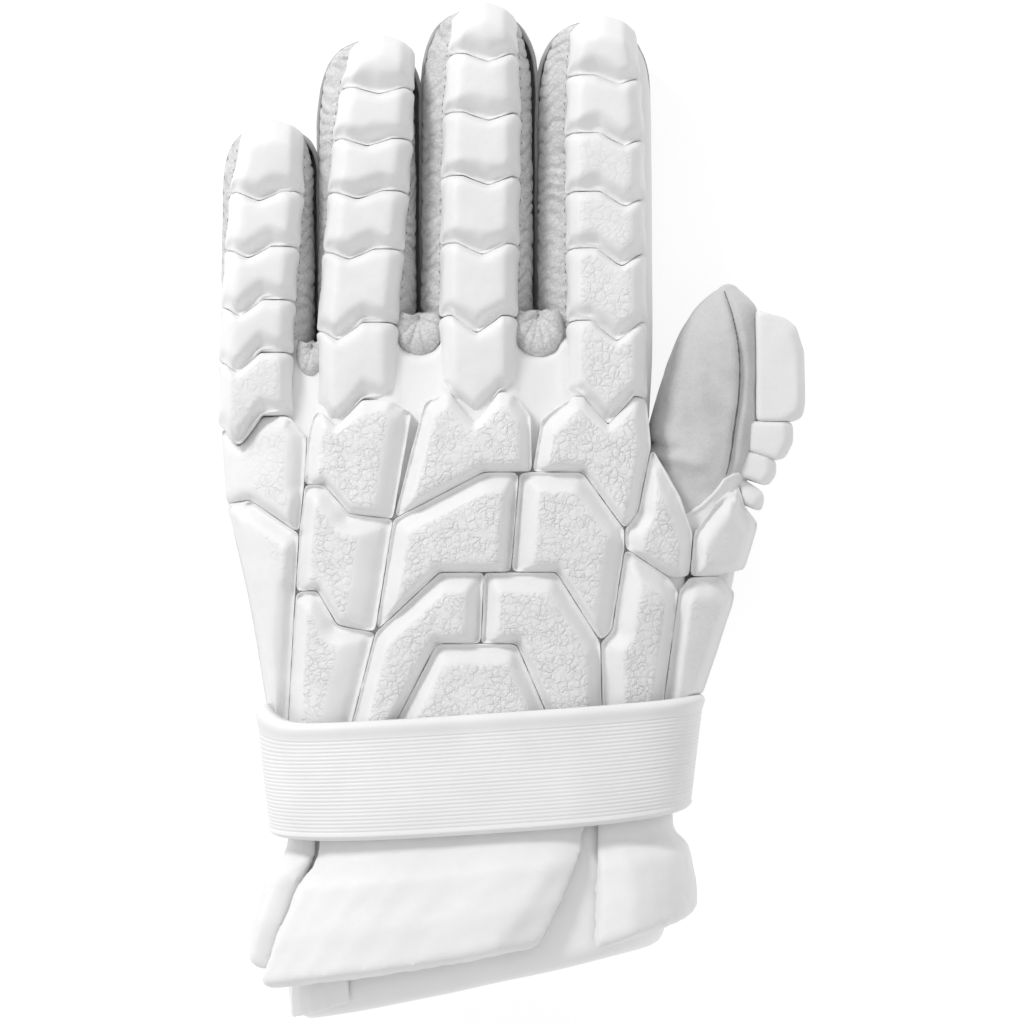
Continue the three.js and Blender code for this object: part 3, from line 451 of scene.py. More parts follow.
def finger_knit():
    """Grey stretch knit with fine dark flecks, and painted shade in its folds and along its scales' edges;
    smooth grey leather where plain is 1.
    """
    made = Finish("grey_finger_knit", 0.62, 0.9, Sheen_Weight=0.25)
    plain = made.attribute("plain")
    knitted = made.rest(plain)
    scales = made.cells(1.0, made.scaled_place(420.0, 560.0, 420.0, made.shifted_place(320.0, 0.0022)))
    lines = made.ramp(scales, [(0.0, 0.0), (0.12, 0.8), (0.35, 1.0)])
    fleck = made.ramp(made.noise(2400.0, 2.0, 0.75), [(0.36, 0.0), (0.46, 1.0)])
    stitch = made.cells(1100.0, made.shifted_place(900.0, 0.0008))
    made.bump(made.math("MULTIPLY", lines, knitted), 0.16 * MM, 0.7)
    made.bump(made.math("MULTIPLY", stitch, knitted), 0.12 * MM, 0.7)
    made.bump(made.noise(1800.0, 2.0, 0.7), 0.05 * MM, 0.5)
    tone = made.ramp(made.noise(90.0, 4.0, 0.6), [(0.3, 0.61), (0.7, 0.73)])
    # Painted shade: the tone darkens along the scales' sunken edges
    crease_shaded_tone = made.mixed(made.math("MULTIPLY", made.rest(lines), 0.3), tone, 0.36)
    dark = made.math("MULTIPLY", made.rest(fleck), 0.42)
    # Painted shade: the fold attribute darkens the knit's colour towards 0.34 in its folds
    flecked = made.mixed(dark, made.mixed(made.attribute("fold"), crease_shaded_tone, 0.34), 0.22)
    made.color(made.mixed(plain, flecked, 0.8))
    return made.material


def suede(name, low, high):
    """Mottled grey suede with a soft nap."""
    made = Finish(name, low, 0.92, Sheen_Weight=0.35, Sheen_Roughness=0.6)
    blotch = made.ramp(made.noise(70.0, 5.0, 0.65), [(0.3, low), (0.7, high)])
    nap = made.noise(2600.0, 3.0, 0.7)
    fibre = made.ramp(nap, [(0.3, low * 0.86), (0.7, high * 1.04)])
    made.color(made.mixed(0.4, blotch, fibre))
    made.bump(made.noise(130.0, 4.0, 0.6), 0.9 * MM, 0.5)
    made.bump(made.noise(620.0, 3.0, 0.6), 0.22 * MM, 0.7)
    made.bump(nap, 0.1 * MM, 0.6)
    return made.material


def strap_rubber():
    made = Finish("white_strap_elastic", 0.83, 0.5, Specular_IOR_Level=0.35)
    made.bump(made.noise(900.0, 2.0), 0.05 * MM, 0.4)
    made.color(made.ramp(made.noise(55.0, 3.0), [(0.3, 0.8), (0.7, 0.85)]))
    made.roughness(made.ramp(made.noise(600.0), [(0.3, 0.45), (0.7, 0.58)]))
    return made.material


def thread_finish():
    made = Finish("grey_thread", 0.2, 0.8)
    made.color(made.ramp(made.noise(900.0), [(0.3, 0.14), (0.7, 0.28)]))
    made.bump(made.noise(3000.0), 0.05 * MM, 0.5)
    return made.material


PAD_LEATHER = pad_leather()
CUFF_LEATHER = smooth_leather("white_cuff_leather", 0.8, 0.85)
# A lighter copy of the cuff's white leather: painted light that lifts the shade falling on the band and binding
# under the flaps
LIGHTENED_BAND_LEATHER = smooth_leather("white_band_leather_lightened", 0.88, 0.92)
BASE_CLOTH = base_cloth()
KNIT = finger_knit()
THUMB_SUEDE = suede("grey_thumb_suede", 0.48, 0.66)
PALM_SUEDE = suede("grey_palm_suede", 0.36, 0.46)
STRAP_RUBBER = strap_rubber()
THREAD = thread_finish()


# Foam pads on the back, the fingers and the thumb
PAD_VOXEL = 0.84 * MM
PAD_ROUNDS = 3  # of relaxing, which rounds the plates' edges
BLOCK_ROUNDS = 6  # the same for the finger blocks
PAD_SPREAD = 0.36 * MM  # how far the pads' sides bulge towards each other
TIP_REACH = 2.2 * MM  # how far a fingertip's pad reaches over the end of the sleeve
TIP_DIP = 1.2 * MM
PAD_WAVE = 0.13 * MM
SOLID_SLOPE = 2.6 * MM  # width of the slope round each solid's top
SOLID_DROP = 3.2 * MM  # height of that slope
PLATE_DROP = 6.0 * MM  # how far a plate's soft slopes run down to a groove
FINGER_DROP = 5.6 * MM  # the same for a finger block's slope towards the wrist
PUFF = 0.7 * MM  # how far a pad's middle swells
THUMB_PAD_INSET = 1.4 * MM  # how far the thumb tip's block stands back from the suede's edge
SMOOTH_PAD_GRAIN = 0.1
PAD_GRAIN = {
    "index_pad_3": 0.5, "index_pad_4": 0.6, "index_pad_5": 0.8, "index_pad_6": 0.9, "little_pad_5": 0.5,
}

# The grooves of each finger from the tip down, as [along, notch, shift]: the place from the crotch and the
# notch's depth as shares of the finger's length, and its side shift as a share of the pad's half-width
GROOVES = {
    "little": [
        (0.703, 0.039, -0.19), (0.459, 0.048, -0.38), (0.223, 0.066, -0.5),
        (-0.009, 0.083, -0.5), (-0.288, 0.118, -0.46),
    ],
    "ring": [
        (0.844, 0.02, 0.07), (0.679, 0.022, -0.12), (0.511, 0.024, -0.26),
        (0.324, 0.03, -0.36), (0.089, 0.051, -0.5), (-0.159, 0.073, -0.5),
    ],
    "middle": [
        (0.862, 0.022, 0.14), (0.69, 0.022, 0.17), (0.506, 0.025, 0.19),
        (0.31, 0.03, 0.07), (0.101, 0.046, -0.04), (-0.121, 0.08, -0.1),
    ],
    "index": [
        (0.832, 0.027, 0.4), (0.656, 0.036, 0.5), (0.479, 0.042, 0.5),
        (0.308, 0.05, 0.39), (0.09, 0.057, 0.25), (-0.138, 0.075, 0.03),
    ],
}

# The corners that the plates on the back of the hand share, as [u, v]
CORNERS = {
    "a": (-0.495, 0.584), "b": (-0.435, 0.595), "d": (-0.318, 0.503), "q": (-0.327, 0.346),
    "f": (-0.348, -0.07), "g": (-0.378, -0.07), "h": (-0.425, 0.297),
    "i": (-0.306, 0.635), "j": (-0.262, 0.638), "k": (-0.201, 0.557), "l": (-0.098, 0.543),
    "m": (-0.14, 0.238), "n": (-0.229, 0.257), "o": (-0.276, 0.351), "t": (-0.208, -0.07),
    "u1": (0.112, 0.67), "u2": (0.194, 0.67), "u3": (0.224, 0.67), "u4": (0.341, 0.67), "u5": (0.439, 0.514),
    "w1": (0.175, 0.4), "w2": (0.009, 0.4), "w3": (0.28, 0.4), "w4": (0.112, 0.4),
    "x1": (0.439, 0.465), "x2": (0.409, 0.243), "x3": (0.383, 0.211), "x4": (0.388, -0.07),
    "z1": (0.105, 0.208), "z2": (0.002, 0.208), "z3": (-0.122, -0.07),
    "z4": (0.187, 0.208), "z5": (0.291, -0.07),
    "i1": (0.502, 0.741), "i2": (0.568, 0.608), "i3": (0.6, 0.503), "i4": (0.591, 0.386), "i5": (0.542, 0.386),
    "i6": (0.47, 0.562), "j2": (0.565, 0.346), "j3": (0.517, -0.07), "k3": (0.657, 0.389),
    "k4": (0.699, 0.346), "k5": (0.696, 0.314), "k6": (0.585, -0.07),
    "l2": (0.654, 0.586), "l3": (0.706, 0.654), "l4": (0.722, 0.578), "l5": (0.757, 0.53), "l6": (0.724, 0.405),
    "r1": (-0.3, 0.76), "r2": (-0.055, 0.835), "m1": (-0.025, 0.87), "m2": (0.222, 0.82), "n1": (0.245, 0.81),
}
PLATES = {
    "little_knuckle_pad": "r1 i d b a",
    "ring_knuckle_pad": "r2 l k j i r1",
    "middle_knuckle_pad": "m2 u3 u1 l m1",
    "index_knuckle_pad": "i1 i6 u5 u4 u3 n1",
    "back_plate_upper_ulnar": "l u1 u2 w1 w2 m",
    "back_plate_upper_radial": "u2 u4 u5 x1 x2 x3 w3 w1",
    "back_plate_middle_ulnar": "m w2 w4 z1 z2 z3 t",
    "back_plate_middle_radial": "w4 w3 x3 x4 z5 z4 z1",
    "back_plate_wrist": "z2 z4 z5 z3",
    "ulnar_plate_long": "a b d q f g h",
    "ulnar_plate_upper": "i j k l m n o q d",
    "ulnar_plate_lower": "q o n m t f",
    "radial_plate_upper": "i1 i2 i3 i4 i5 x1 u5 i6",
    "radial_plate_lower": "x1 i5 j2 j3 x4 x3 x2",
    "thumb_plate_lower": "j2 i4 k3 k4 k5 k6 j3",
    "thumb_saddle_pad": "i3 l2 l3 l4 l5 l6 k3 i4",
}
# Width of a plate's slope by where its edge faces: -1 to the wrist, 1 to the fingertips
SLOPE_WIDTHS = (
    (-1.0, -0.5, -0.25, 0.3, 0.8, 1.0),
    (1.5 * MM, 2.0 * MM, 3.6 * MM, 5.2 * MM, 6.6 * MM, 7.0 * MM),
)
ROOT_SLOPE = (1.4 * MM, 1.6 * MM)  # width and drop where a knuckle pad meets its finger's last block
SLOPE_POWER = 1.4
EDGE_GAP = 0.4 * MM  # from a corner's line to the solid's own edge
BLOCK_SLOPE = 5.4 * MM  # width of a finger block's slope towards the wrist

# Slopes of another width, in millimetres, by the plate and the corner where the edge starts
SIDE_SLOPES = {
    ("ring_knuckle_pad", "r2"): 7.5, ("little_knuckle_pad", "r1"): 7.0, ("index_knuckle_pad", "n1"): 6.5,
    ("middle_knuckle_pad", "l"): 5.0, ("middle_knuckle_pad", "m2"): 4.5,
    ("back_plate_upper_ulnar", "u2"): 4.6, ("back_plate_upper_ulnar", "m"): 6.0,
    ("back_plate_upper_radial", "w1"): 7.5, ("back_plate_middle_ulnar", "w4"): 6.0,
    ("back_plate_middle_radial", "z1"): 5.5,
    ("ulnar_plate_upper", "l"): 11.0, ("ulnar_plate_lower", "m"): 11.0, ("ulnar_plate_long", "q"): 6.5,
    ("radial_plate_upper", "x1"): 6.5, ("radial_plate_lower", "x4"): 8.0, ("radial_plate_lower", "x3"): 8.0,
    ("radial_plate_lower", "x2"): 8.0, ("back_plate_upper_radial", "x1"): 6.5, ("thumb_saddle_pad", "l2"): 6.5,
}

# The two straight valleys down the middle of the back, as the edges on their sides
VALLEYS = (
    ("back_plate_upper_ulnar", "u2"), ("back_plate_upper_radial", "w1"),
    ("back_plate_middle_ulnar", "w4"), ("back_plate_middle_radial", "z1"),
)
VALLEY_DROP = 7.6 * MM


def finger_named(name):
    return next(finger for finger in FINGERS if name.startswith(finger["name"]))


LEAN_FROM = 0.1
UPRIGHT_AT = 0.43
NARROW_FROM = 0.7
NARROW_OVER = 0.3
NARROWER = 0.17
NOTCH_DEPTH = 1.15
NOTCH_REACH = 0.62
NOTCH_POWER = 0.9
CORNER_FROM = 0.72
CORNER_DRAW = 0.11
BEND_REACH = 4 * MM  # how far from a groove the blocks bend with it


def pad_at(finger, along):
    """The middle and the half width of a finger's pads at a share of its length."""
    lean = np.maximum(along, LEAN_FROM) - UPRIGHT_AT
    middle = finger["pad_x"] + finger["lean"] * finger["width"] * lean
    half = finger["pad_half"] * (1 - NARROWER * np.maximum(along - NARROW_FROM, 0) / NARROW_OVER)
    return middle, half


def groove_line(finger, groove):
    along, notch, shift = groove
    y = CROTCH_Y + along * finger["length"]
    middle, half = pad_at(finger, along)
    return [(middle - half, y), (middle + shift * half, y - notch * finger["length"]), (middle + half, y)]


def groove_bend(finger, groove, x):
    """How far a groove lies from its straight lines: a short notch, with the pad's corners drawn back."""
    (left, level), (notch_x, notch_y), (right, _) = groove_line(finger, groove)
    half = (right - left) / 2
    straight = np.interp(x, [left, notch_x, right], [0.0, notch_y - level, 0.0])
    off = np.abs(x - notch_x) / half
    side = np.abs(x - (left + right) / 2) / half
    notch = NOTCH_DEPTH * (notch_y - level) * np.clip(1 - off / NOTCH_REACH, 0, 1) ** NOTCH_POWER
    corner = -CORNER_DRAW * half * np.clip((side - CORNER_FROM) / (1 - CORNER_FROM), 0, 1) ** 2
    return notch + corner - straight


def bend_grooves(name, points):
    """Bends a finger block, or a knuckle pad, along the grooves at its ends."""
    finger = finger_named(name)
    grooves = GROOVES[finger["name"]]
    if "knuckle" in name:
        ends = grooves[-1:]
    else:
        number = 0 if "tip" in name else int(name[-1]) - 1
        ends = grooves[max(number - 1, 0) : number + 1] if number else grooves[:1]
    for groove in ends:
        line = groove_line(finger, groove)
        y = np.interp(points[:, 0], [p[0] for p in line], [p[1] for p in line])
        near = np.exp(-(((points[:, 1] - y) / BEND_REACH) ** 2))
        points[:, 1] += near * groove_bend(finger, groove, points[:, 0])


def plate_edges(name):
    """A plate's edges as [start, end, slope width, drop], from its corners."""
    corners = PLATES[name].split()
    places = [(plan_x(CORNERS[c][0]), plan_y(CORNERS[c][1])) for c in corners]
    start = []
    if "knuckle" in name:
        finger = finger_named(name)
        start = groove_line(finger, GROOVES[finger["name"]][-1])
    names = [""] * len(start) + corners
    outline = [Vector(p) for p in start + places]
    area = sum(p.cross(q) for p, q in zip(outline, outline[1:] + outline[:1]))
    made = []
    for n, (p, q) in enumerate(zip(outline, outline[1:] + outline[:1])):
        way = (q - p).normalized()
        faces_tips = -way.x if area > 0 else way.x
        width = float(np.interp(faces_tips, *SLOPE_WIDTHS))
        width = SIDE_SLOPES.get((name, names[n]), width / MM) * MM
        if n < len(start) - 1:
            made.append((p, q, *ROOT_SLOPE))
        else:
            made.append((p, q, width, VALLEY_DROP if (name, names[n]) in VALLEYS else PLATE_DROP))
    return made


def distance_to(points, p, q):
    """How far places in the plan are from the line between two corners."""
    p, q = np.array(p), np.array(q)
    way = q - p
    share = np.clip(((points - p) @ way) / (way @ way), 0, 1)
    return np.linalg.norm(points - (p + share[:, None] * way), axis=1)


def slope_down(away, width, drop):
    """How far a slope lies under the pad's top at a distance from its edge."""
    return drop * (1 - np.clip(away / width, 0, 1)) ** SLOPE_POWER


def plate_slopes(name, places):
    """How far a plate's top drops at places in the plan, and how far each place is from an edge."""
    total = np.zeros(len(places))
    nearest = np.full(len(places), 1.0)
    for p, q, width, drop in plate_edges(name):
        away = distance_to(places, p, q) - EDGE_GAP
        total = total + slope_down(away, width, drop) ** 5
        nearest = np.minimum(nearest, away)
    return total ** (1 / 5), nearest


def block_slopes(name, places):
    """The same for a finger's block, which slopes towards the wrist and has a crisp edge towards the tip."""
    finger = finger_named(name)
    grooves = GROOVES[finger["name"]]
    number = 0 if "tip" in name else int(name[-1]) - 1
    back = groove_line(finger, grooves[number])
    line = np.interp(places[:, 0], [p[0] for p in back], [p[1] for p in back])
    line = line + groove_bend(finger, grooves[number], places[:, 0])
    away = places[:, 1] - line - EDGE_GAP
    half = (back[2][0] - back[0][0]) / 2
    bend = 1 + 0.3 * np.cos(math.pi * (places[:, 0] - back[0][0] - half) / half)
    wave = np.array([noise.noise(Vector((x * 130, y * 40, 3.7))) for x, y in places])
    drop = FINGER_DROP * (0.62 + 0.43 * bend)
    return slope_down(away, BLOCK_SLOPE * bend * (1 + 0.25 * wave), drop), away


def grain_of(name):
    if name in PLATES:
        return 1.0
    return PAD_GRAIN.get(name, SMOOTH_PAD_GRAIN)


def foam_pad(name):
    """A foam block in its leather skin: its solid's form with soft slopes and a swelling top."""
    piece = remeshed(name + "_foam", name, PAD_VOXEL, PAD_LEATHER)
    mesh = piece.data
    joined = edges_of(mesh)
    rounds = PAD_ROUNDS if name in PLATES or "thumb" in name else BLOCK_ROUNDS
    points = relaxed(coordinates(mesh), joined, rounds)
    if name == "thumb_tip_pad":
        left, right = points[:, 0].min(), points[:, 0].max()
        points[:, 0] += THUMB_PAD_INSET * (right - points[:, 0]) / (right - left)
    elif "tip_pad" in name:
        front, back = points[:, 1].max(), points[:, 1].min()
        share = (points[:, 1] - back) / (front - back)
        points[:, 1] += TIP_REACH * share**2
        points[:, 2] -= TIP_DIP * share**4
    if "thumb" not in name and ("knuckle" in name or name not in PLATES):
        bend_grooves(name, points)
    set_coordinates(mesh, points)
    facing = normals(mesh)
    sideways = np.clip((0.75 - np.abs(facing[:, 2])) / 0.5, 0, 1) * PAD_SPREAD
    points[:, :2] += facing[:, :2] * sideways[:, None]
    upward = np.clip((facing[:, 2] - 0.25) / 0.35, 0, 1)
    places = points[:, :2]
    grain = np.clip((facing[:, 2] - 0.8) / 0.12, 0, 1)
    if name in PLATES or "thumb" not in name:
        down, away = plate_slopes(name, places) if name in PLATES else block_slopes(name, places)
        own = slope_down(away, SOLID_SLOPE, SOLID_DROP)
        swell = PUFF * (1 - np.exp(-np.maximum(away, 0) / (5 * MM)))
        points[:, 2] += upward * (swell - np.maximum(down - own, 0))
        grain *= np.clip(1 - down / (0.5 * MM), 0, 1)
    points = relaxed(points, joined, 2)
    set_coordinates(mesh, points)
    facing = normals(mesh)
    waves = np.array([noise.noise(Vector(p) * 150.0) + 0.4 * noise.noise(Vector(p) * 420.0) for p in points])
    set_coordinates(mesh, points + facing * (PAD_WAVE * waves)[:, None])
    set_attribute(mesh, "grain", grain * grain_of(name))
    smooth(mesh)
    return stands_for(piece, "pad_skin", name, fill=0.9)


for name in sorted(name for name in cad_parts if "_pad" in name or "_plate" in name):
    foam_pad(name)


FOAM_MIDDLE = plan_x(0.02)
FOAM_POWER = 2.5


def foam_top(x, y):
    """The foam's outer height over a place on the back of the hand."""
    row = between(FOAM_SECTIONS, "v", y / HAND_LENGTH + PALM_CENTRE)
    side = plan_x(row["left"] if x < FOAM_MIDDLE else row["right"])
    share = min(abs((x - FOAM_MIDDLE) / (side - FOAM_MIDDLE)), 1.0)
    rise = (1 - share**FOAM_POWER) ** (1 / FOAM_POWER)
    return PAD_EDGE_HEIGHT + (HAND_HEIGHT * row["top"] - PAD_EDGE_HEIGHT) * rise


def under_pads(name, rows):
    """A leather skin that closes the grooves between the pads from below."""
    piece = add_object(name, grid_mesh(name, rows), PAD_LEATHER)
    set_attribute(piece.data, "grain", np.zeros(len(piece.data.vertices)))
    stands_for(shell(piece), "pad_skin")


# Knit gussets between the fingers, as [middle x, half width, y of the bend's foot, y of the crotch, folds], in
# millimetres
GUSSETS = {
    "ring_middle_gusset": (-5.6, 7.4, 64.4, 77.6, 9),
    "middle_index_gusset": (33.2, 7.6, 63.8, 78.4, 10),
    "little_ring_gusset": (-40.6, 4.4, 57.6, 68.5, 6),
}
GUSSET_TOP = 36.3 * MM
SKIN_DEPTH = 7.2 * MM  # how far the skin in the grooves lies under the pads' tops
WEB_START = plan_y(0.6)  # where the skin starts to drop towards the webs between the fingers
WEB_DROP = 5.0 * MM
WEB_FRONT = CROTCH_Y - 1 * MM
WEB_ROLL = 4 * MM  # length of the rolled edge at the webs
WEB_REACH = 6.0 * MM
SKIN_STEP = 2 * MM
SKIN_COLUMNS = 116


def back_skin():
    roll = WEB_FRONT - WEB_ROLL
    rows = []
    for y in list(np.arange(plan_y(-0.06), roll, SKIN_STEP)) + [roll]:
        rows.append(skin_row(y, y, WEB_DROP * smooth_step(WEB_START, WEB_FRONT, y)))
    for turn in range(15, 91, 15):
        angle = math.radians(turn)
        y = roll + WEB_ROLL * math.sin(angle)
        rows.append(skin_row(y, roll, WEB_DROP + 6 * MM * (1 - math.cos(angle))))
    under_pads("back_groove_skin", rows)


def skin_row(y, level_at, drop):
    v = level_at / HAND_LENGTH + PALM_CENTRE
    row = between(FOAM_SECTIONS, "v", v)
    left = plan_x(row["left"]) + 3 * MM
    right = plan_x(lerp(0.58, 0.46, smooth_step(0.42, 0.6, v)))
    forward = smooth_step(WEB_START, CROTCH_Y - 5 * MM, level_at)
    return [
        (x, y + forward * web_reach(x), foam_top(x, level_at) - SKIN_DEPTH - drop)
        for x in np.linspace(left, right, SKIN_COLUMNS)
    ]


def web_reach(x):
    """How far the skin runs up beside the gussets between the fingers, which it borders in a curve."""
    reach = WEB_REACH
    for middle, half, *_ in GUSSETS.values():
        off = min(abs(x - middle * MM) / (half * MM), 1.0)
        reach = min(reach, WEB_REACH * (1 - math.sqrt(1 - off * off)))
    return reach


back_skin()


# The glove's skins: finger sleeves, finger palms, palm, back and thumb
SEAM_Z = FINGER_RISE + FINGER_HEIGHT * SEAM_HEIGHT - (FINGER_RISE - TIP_RISE) / 2
FINGER_POWER = 2.15
# How far each sleeve's left and right sides stand back, in millimetres, which opens the gaps between fingers
SLEEVE_INSETS = {"little": (0.0, 2.2), "ring": (0.5, 2.6), "middle": (0.7, 2.2), "index": (0.9, 0.0)}
# How far each sleeve runs in under the back, as a share of the finger's length
SLEEVE_TUCKS = {"little": 0.3, "ring": 0.02, "middle": 0.02, "index": 0.2}
SLEEVE_RISE = 1.1 * MM  # from the finger's form out to the skin's outer side
LEATHER_REACH = 0.3 * MM  # how far the finger palms' leather reaches into those gaps
THUMB_POWER = 2.3
TIP_START = 0.965
TIP_END = 0.996
THUMB_END = 1.004


def tip_close(along, end):
    """How wide a section still is where a tip closes, as a share."""
    if along <= TIP_START:
        return 1.0
    return math.sqrt(max(1 - ((along - TIP_START) / (end - TIP_START)) ** 2, 0.0004))


def finger_section(finger, along):
    """Centre height, half width and half height of a finger at a share along it, closed by a round tip."""
    row = between(FINGER_SECTIONS, "along", min(along, FINGER_SECTIONS[-1]["along"]))
    rise = row["rise"]
    low = lerp(FINGER_RISE, TIP_RISE, rise)
    if rise > 1:
        low += FINGER_RISE * (rise - 1) * 1.6
    high = low + FINGER_HEIGHT * row["height"]
    close = tip_close(along, TIP_END)
    return (low + high) / 2, finger["width"] * row["width"] / 2 * close, (high - low) / 2 * close


def thumb_section(along):
    row = between(THUMB_SECTIONS, "along", min(along, THUMB_SECTIONS[-1]["along"]))
    close = tip_close(along, THUMB_END)
    centre_x = plan_x(0.5) + THUMB_WIDTH * (row["left"] + row["right"]) / 2
    half_x = THUMB_WIDTH * (row["right"] - row["left"]) / 2 * close
    return centre_x, THUMB_LIFT + THUMB_HEIGHT / 2, half_x, THUMB_HEIGHT * row["height"] / 2 * close


def seam_angle(centre_z, half_z):
    """The angle at which a finger's section crosses the height of its side seams."""
    level = min(max((SEAM_Z - centre_z) / half_z, -0.98), 0.98)
    return math.copysign(math.asin(abs(level) ** (FINGER_POWER / 2)), level)


def tip_spaced(first, last, count):
    """Shares from first to last, closer together towards the last."""
    return [lerp(first, last, 1 - (1 - n / (count - 1)) ** 1.35) for n in range(count)]


def finger_skin(finger, name, upper, material, rows, columns, bump):
    """The upper or the lower half of a finger's skin as a thin shell, with bump pushing it outwards.

    Each ring is turned round, so that the skin's faces look outwards.
    """
    left, right = (value * MM for value in SLEEVE_INSETS[finger["name"]])
    if not upper:
        left, right = (-LEATHER_REACH if value else 0.0 for value in (left, right))
    rings = []
    for along in tip_spaced(finger["root"] - SLEEVE_TUCKS[finger["name"]], TIP_END, rows):
        centre_z, half_x, half_z = finger_section(finger, along)
        inset = 1 - smooth_step(0.85, TIP_END, along)
        seam = seam_angle(centre_z, half_z)
        first, last = (seam, math.pi - seam) if upper else (math.pi - seam, 2 * math.pi + seam)
        y = CROTCH_Y + along * finger["length"]
        middle = finger["x"] + (left - right) / 2 * inset
        half = half_x - (left + right) / 2 * inset
        ring = []
        for n in range(columns):
            angle = lerp(first, last, n / (columns - 1))
            x, z = oval(middle, centre_z, half, half_z, FINGER_POWER, angle)
            ring.append((x, y, z))
        rings.append(ring[::-1])
    mesh = grid_mesh(name, rings)
    piece = add_object(name, mesh, material)
    push_out(mesh, lambda p, d: SLEEVE_RISE + bump(p, d))
    return shell(piece)


STRIP_INSET = 0.5 * MM
STRIP_SIDE = 11 * MM  # how far its edges reach down beside the pads
STRIP_FALL = 4.2 * MM
STRIP_FLAT = 0.63  # share of its half width that stays level


def finger_strip(finger):
    """The skin under the grooves across a finger's pads."""
    rows = []
    for along in np.linspace(-0.2, 0.92, 60):
        centre_z, half_x, half_z = finger_section(finger, along)
        middle, half = pad_at(finger, along)
        top = centre_z + half_z + FINGER_PAD_THICKNESS - SKIN_DEPTH
        y = CROTCH_Y + along * finger["length"]
        row = [(middle - half + STRIP_INSET, y, top - STRIP_SIDE)]
        for column in np.linspace(-1, 1, 15):
            side = max(abs(column) - STRIP_FLAT, 0.0) / (1 - STRIP_FLAT) * STRIP_FALL
            row.append((middle + column * (half - STRIP_INSET), y, top - side))
        row.append((middle + half - STRIP_INSET, y, top - STRIP_SIDE))
        rows.append(row)
    under_pads(finger["name"] + "_groove_skin", rows)


KNIT_ROW = 4.4 * MM  # length of a knit fold along the finger


def knit_fold(point):
    """How near a place is to a fold across the finger: 0 on a pillow's top, 1 in the fold."""
    drift = noise.noise(Vector((point.x * 150, point.y * 60, point.z * 150)))
    row = abs(math.sin(math.pi * (point.y / KNIT_ROW + 1.1 * drift)))
    return (1 - min(row * 1.5, 1.0)) * (0.55 + 0.6 * noise.noise(point * 170.0 + Vector((5, 0, 0))))


def knit_bump(point, facing):
    """Soft pillows across the finger, uneven as stretch knit is, and none on the index finger's outer side."""
    puff = 0.4 * MM * noise.noise(point * 110.0) + 0.1 * MM * noise.noise(point * 600.0)
    return (puff - 0.85 * MM * max(knit_fold(point), 0.0)) * (1 - plain_side(point))


def plain_side(point):
    """1 on the smooth leather down the outer side of the index finger."""
    middle, half = pad_at(FINGERS[-1], 0.4)
    return smooth_step(middle + 0.6 * half, middle + 0.75 * half, point.x)


def leather_bump(point, facing):
    return 0.4 * MM * noise.noise(point * 60.0) + 0.12 * MM * noise.noise(point * 300.0)


def knit_marks(sleeve, finger):
    """Marks a sleeve's folds, where the knit's colour gets painted shade, and the smooth leather down the outer
    side of the index finger.
    """
    points = [v.co for v in sleeve.data.vertices]
    # fold: how much painted shade the knit's colour gets in its folds
    set_attribute(sleeve.data, "fold", [0.75 * min(max(knit_fold(p), 0.0), 1.0) for p in points])
    if finger["name"] == "index":
        set_attribute(sleeve.data, "plain", [plain_side(p) for p in points])


for finger in FINGERS:
    name = finger["name"]
    sleeve = finger_skin(finger, name + "_knit_sleeve", True, KNIT, 150, 50, knit_bump)
    knit_marks(sleeve, finger)
    stands_for(sleeve, "finger_knit", name + "_sleeve")
    lower = finger_skin(finger, name + "_finger_leather", False, PALM_SUEDE, 60, 40, leather_bump)
    stands_for(lower, "palm_leather", name + "_finger_palm")
    finger_strip(finger)


def height_over(tree, x, y):
    """The height of a piece's upper surface over a place in the plan, or None beside it."""
    hit = tree.ray_cast(Vector((x, y, 0.2)), Vector((0, 0, -1)))[0]
    return None if hit is None else hit.z


def tree_of(piece):
    points = [v.co for v in piece.data.vertices]
    return BVHTree.FromPolygons(points, [list(f.vertices) for f in piece.data.polygons])


def gusset(name, middle, half, foot, crotch, folds):
    """A knit bend between two fingers: folds fan out from the crotch down to a rounded foot."""
    up = (crotch - foot) * 0.62
    rows, fold_shade = [], []
    columns, rings = 150, 34
    for ring in range(rings):
        share = (ring + 0.4) / (rings - 0.6)
        row = []
        for column in range(columns):
            turn = math.radians(lerp(140, 400, column / (columns - 1)))
            rim = Vector((middle + half * math.cos(turn), foot + up + up * math.sin(turn)))
            place = Vector((middle, crotch)).lerp(rim, share)
            drift = 0.55 * noise.noise(Vector((turn * 2.1, share * 1.6, middle / MM)))
            crease = 1 - abs(math.sin(folds * turn / 2 + drift * 2.4)) ** 0.55
            crease *= math.sin(math.pi * min(share * 1.08, 1.0)) ** 0.5
            z = GUSSET_TOP - 7 * MM * (1 - share) ** 4 - 5.5 * MM * share**9 - 1.5 * MM * crease
            z += 0.9 * MM * (foot + up - place.y) / up
            z += 0.3 * MM * noise.noise(Vector((place.x * 300, place.y * 300, 1.7)))
            row.append((place.x, place.y, z))
            # Painted shade in the gusset's creases, through the knit's fold attribute
            fold_shade.append(0.8 * min(max(crease, 0.0), 1.0))
        rows.append(row)
    piece = add_object(name, grid_mesh(name, rows), KNIT)
    set_attribute(piece.data, "fold", fold_shade)
    stands_for(shell(piece), "finger_knit")


for gusset_name, (middle, half, foot, crotch, folds) in GUSSETS.items():
    gusset(gusset_name, middle * MM, half * MM, foot * MM, crotch * MM, folds)


STITCH_LENGTH = 1.1 * MM
STITCH_GAP = 2.2 * MM
STITCH_RADIUS = 0.12 * MM
STITCH_STEPS = 6
STITCH_SIDES = 6


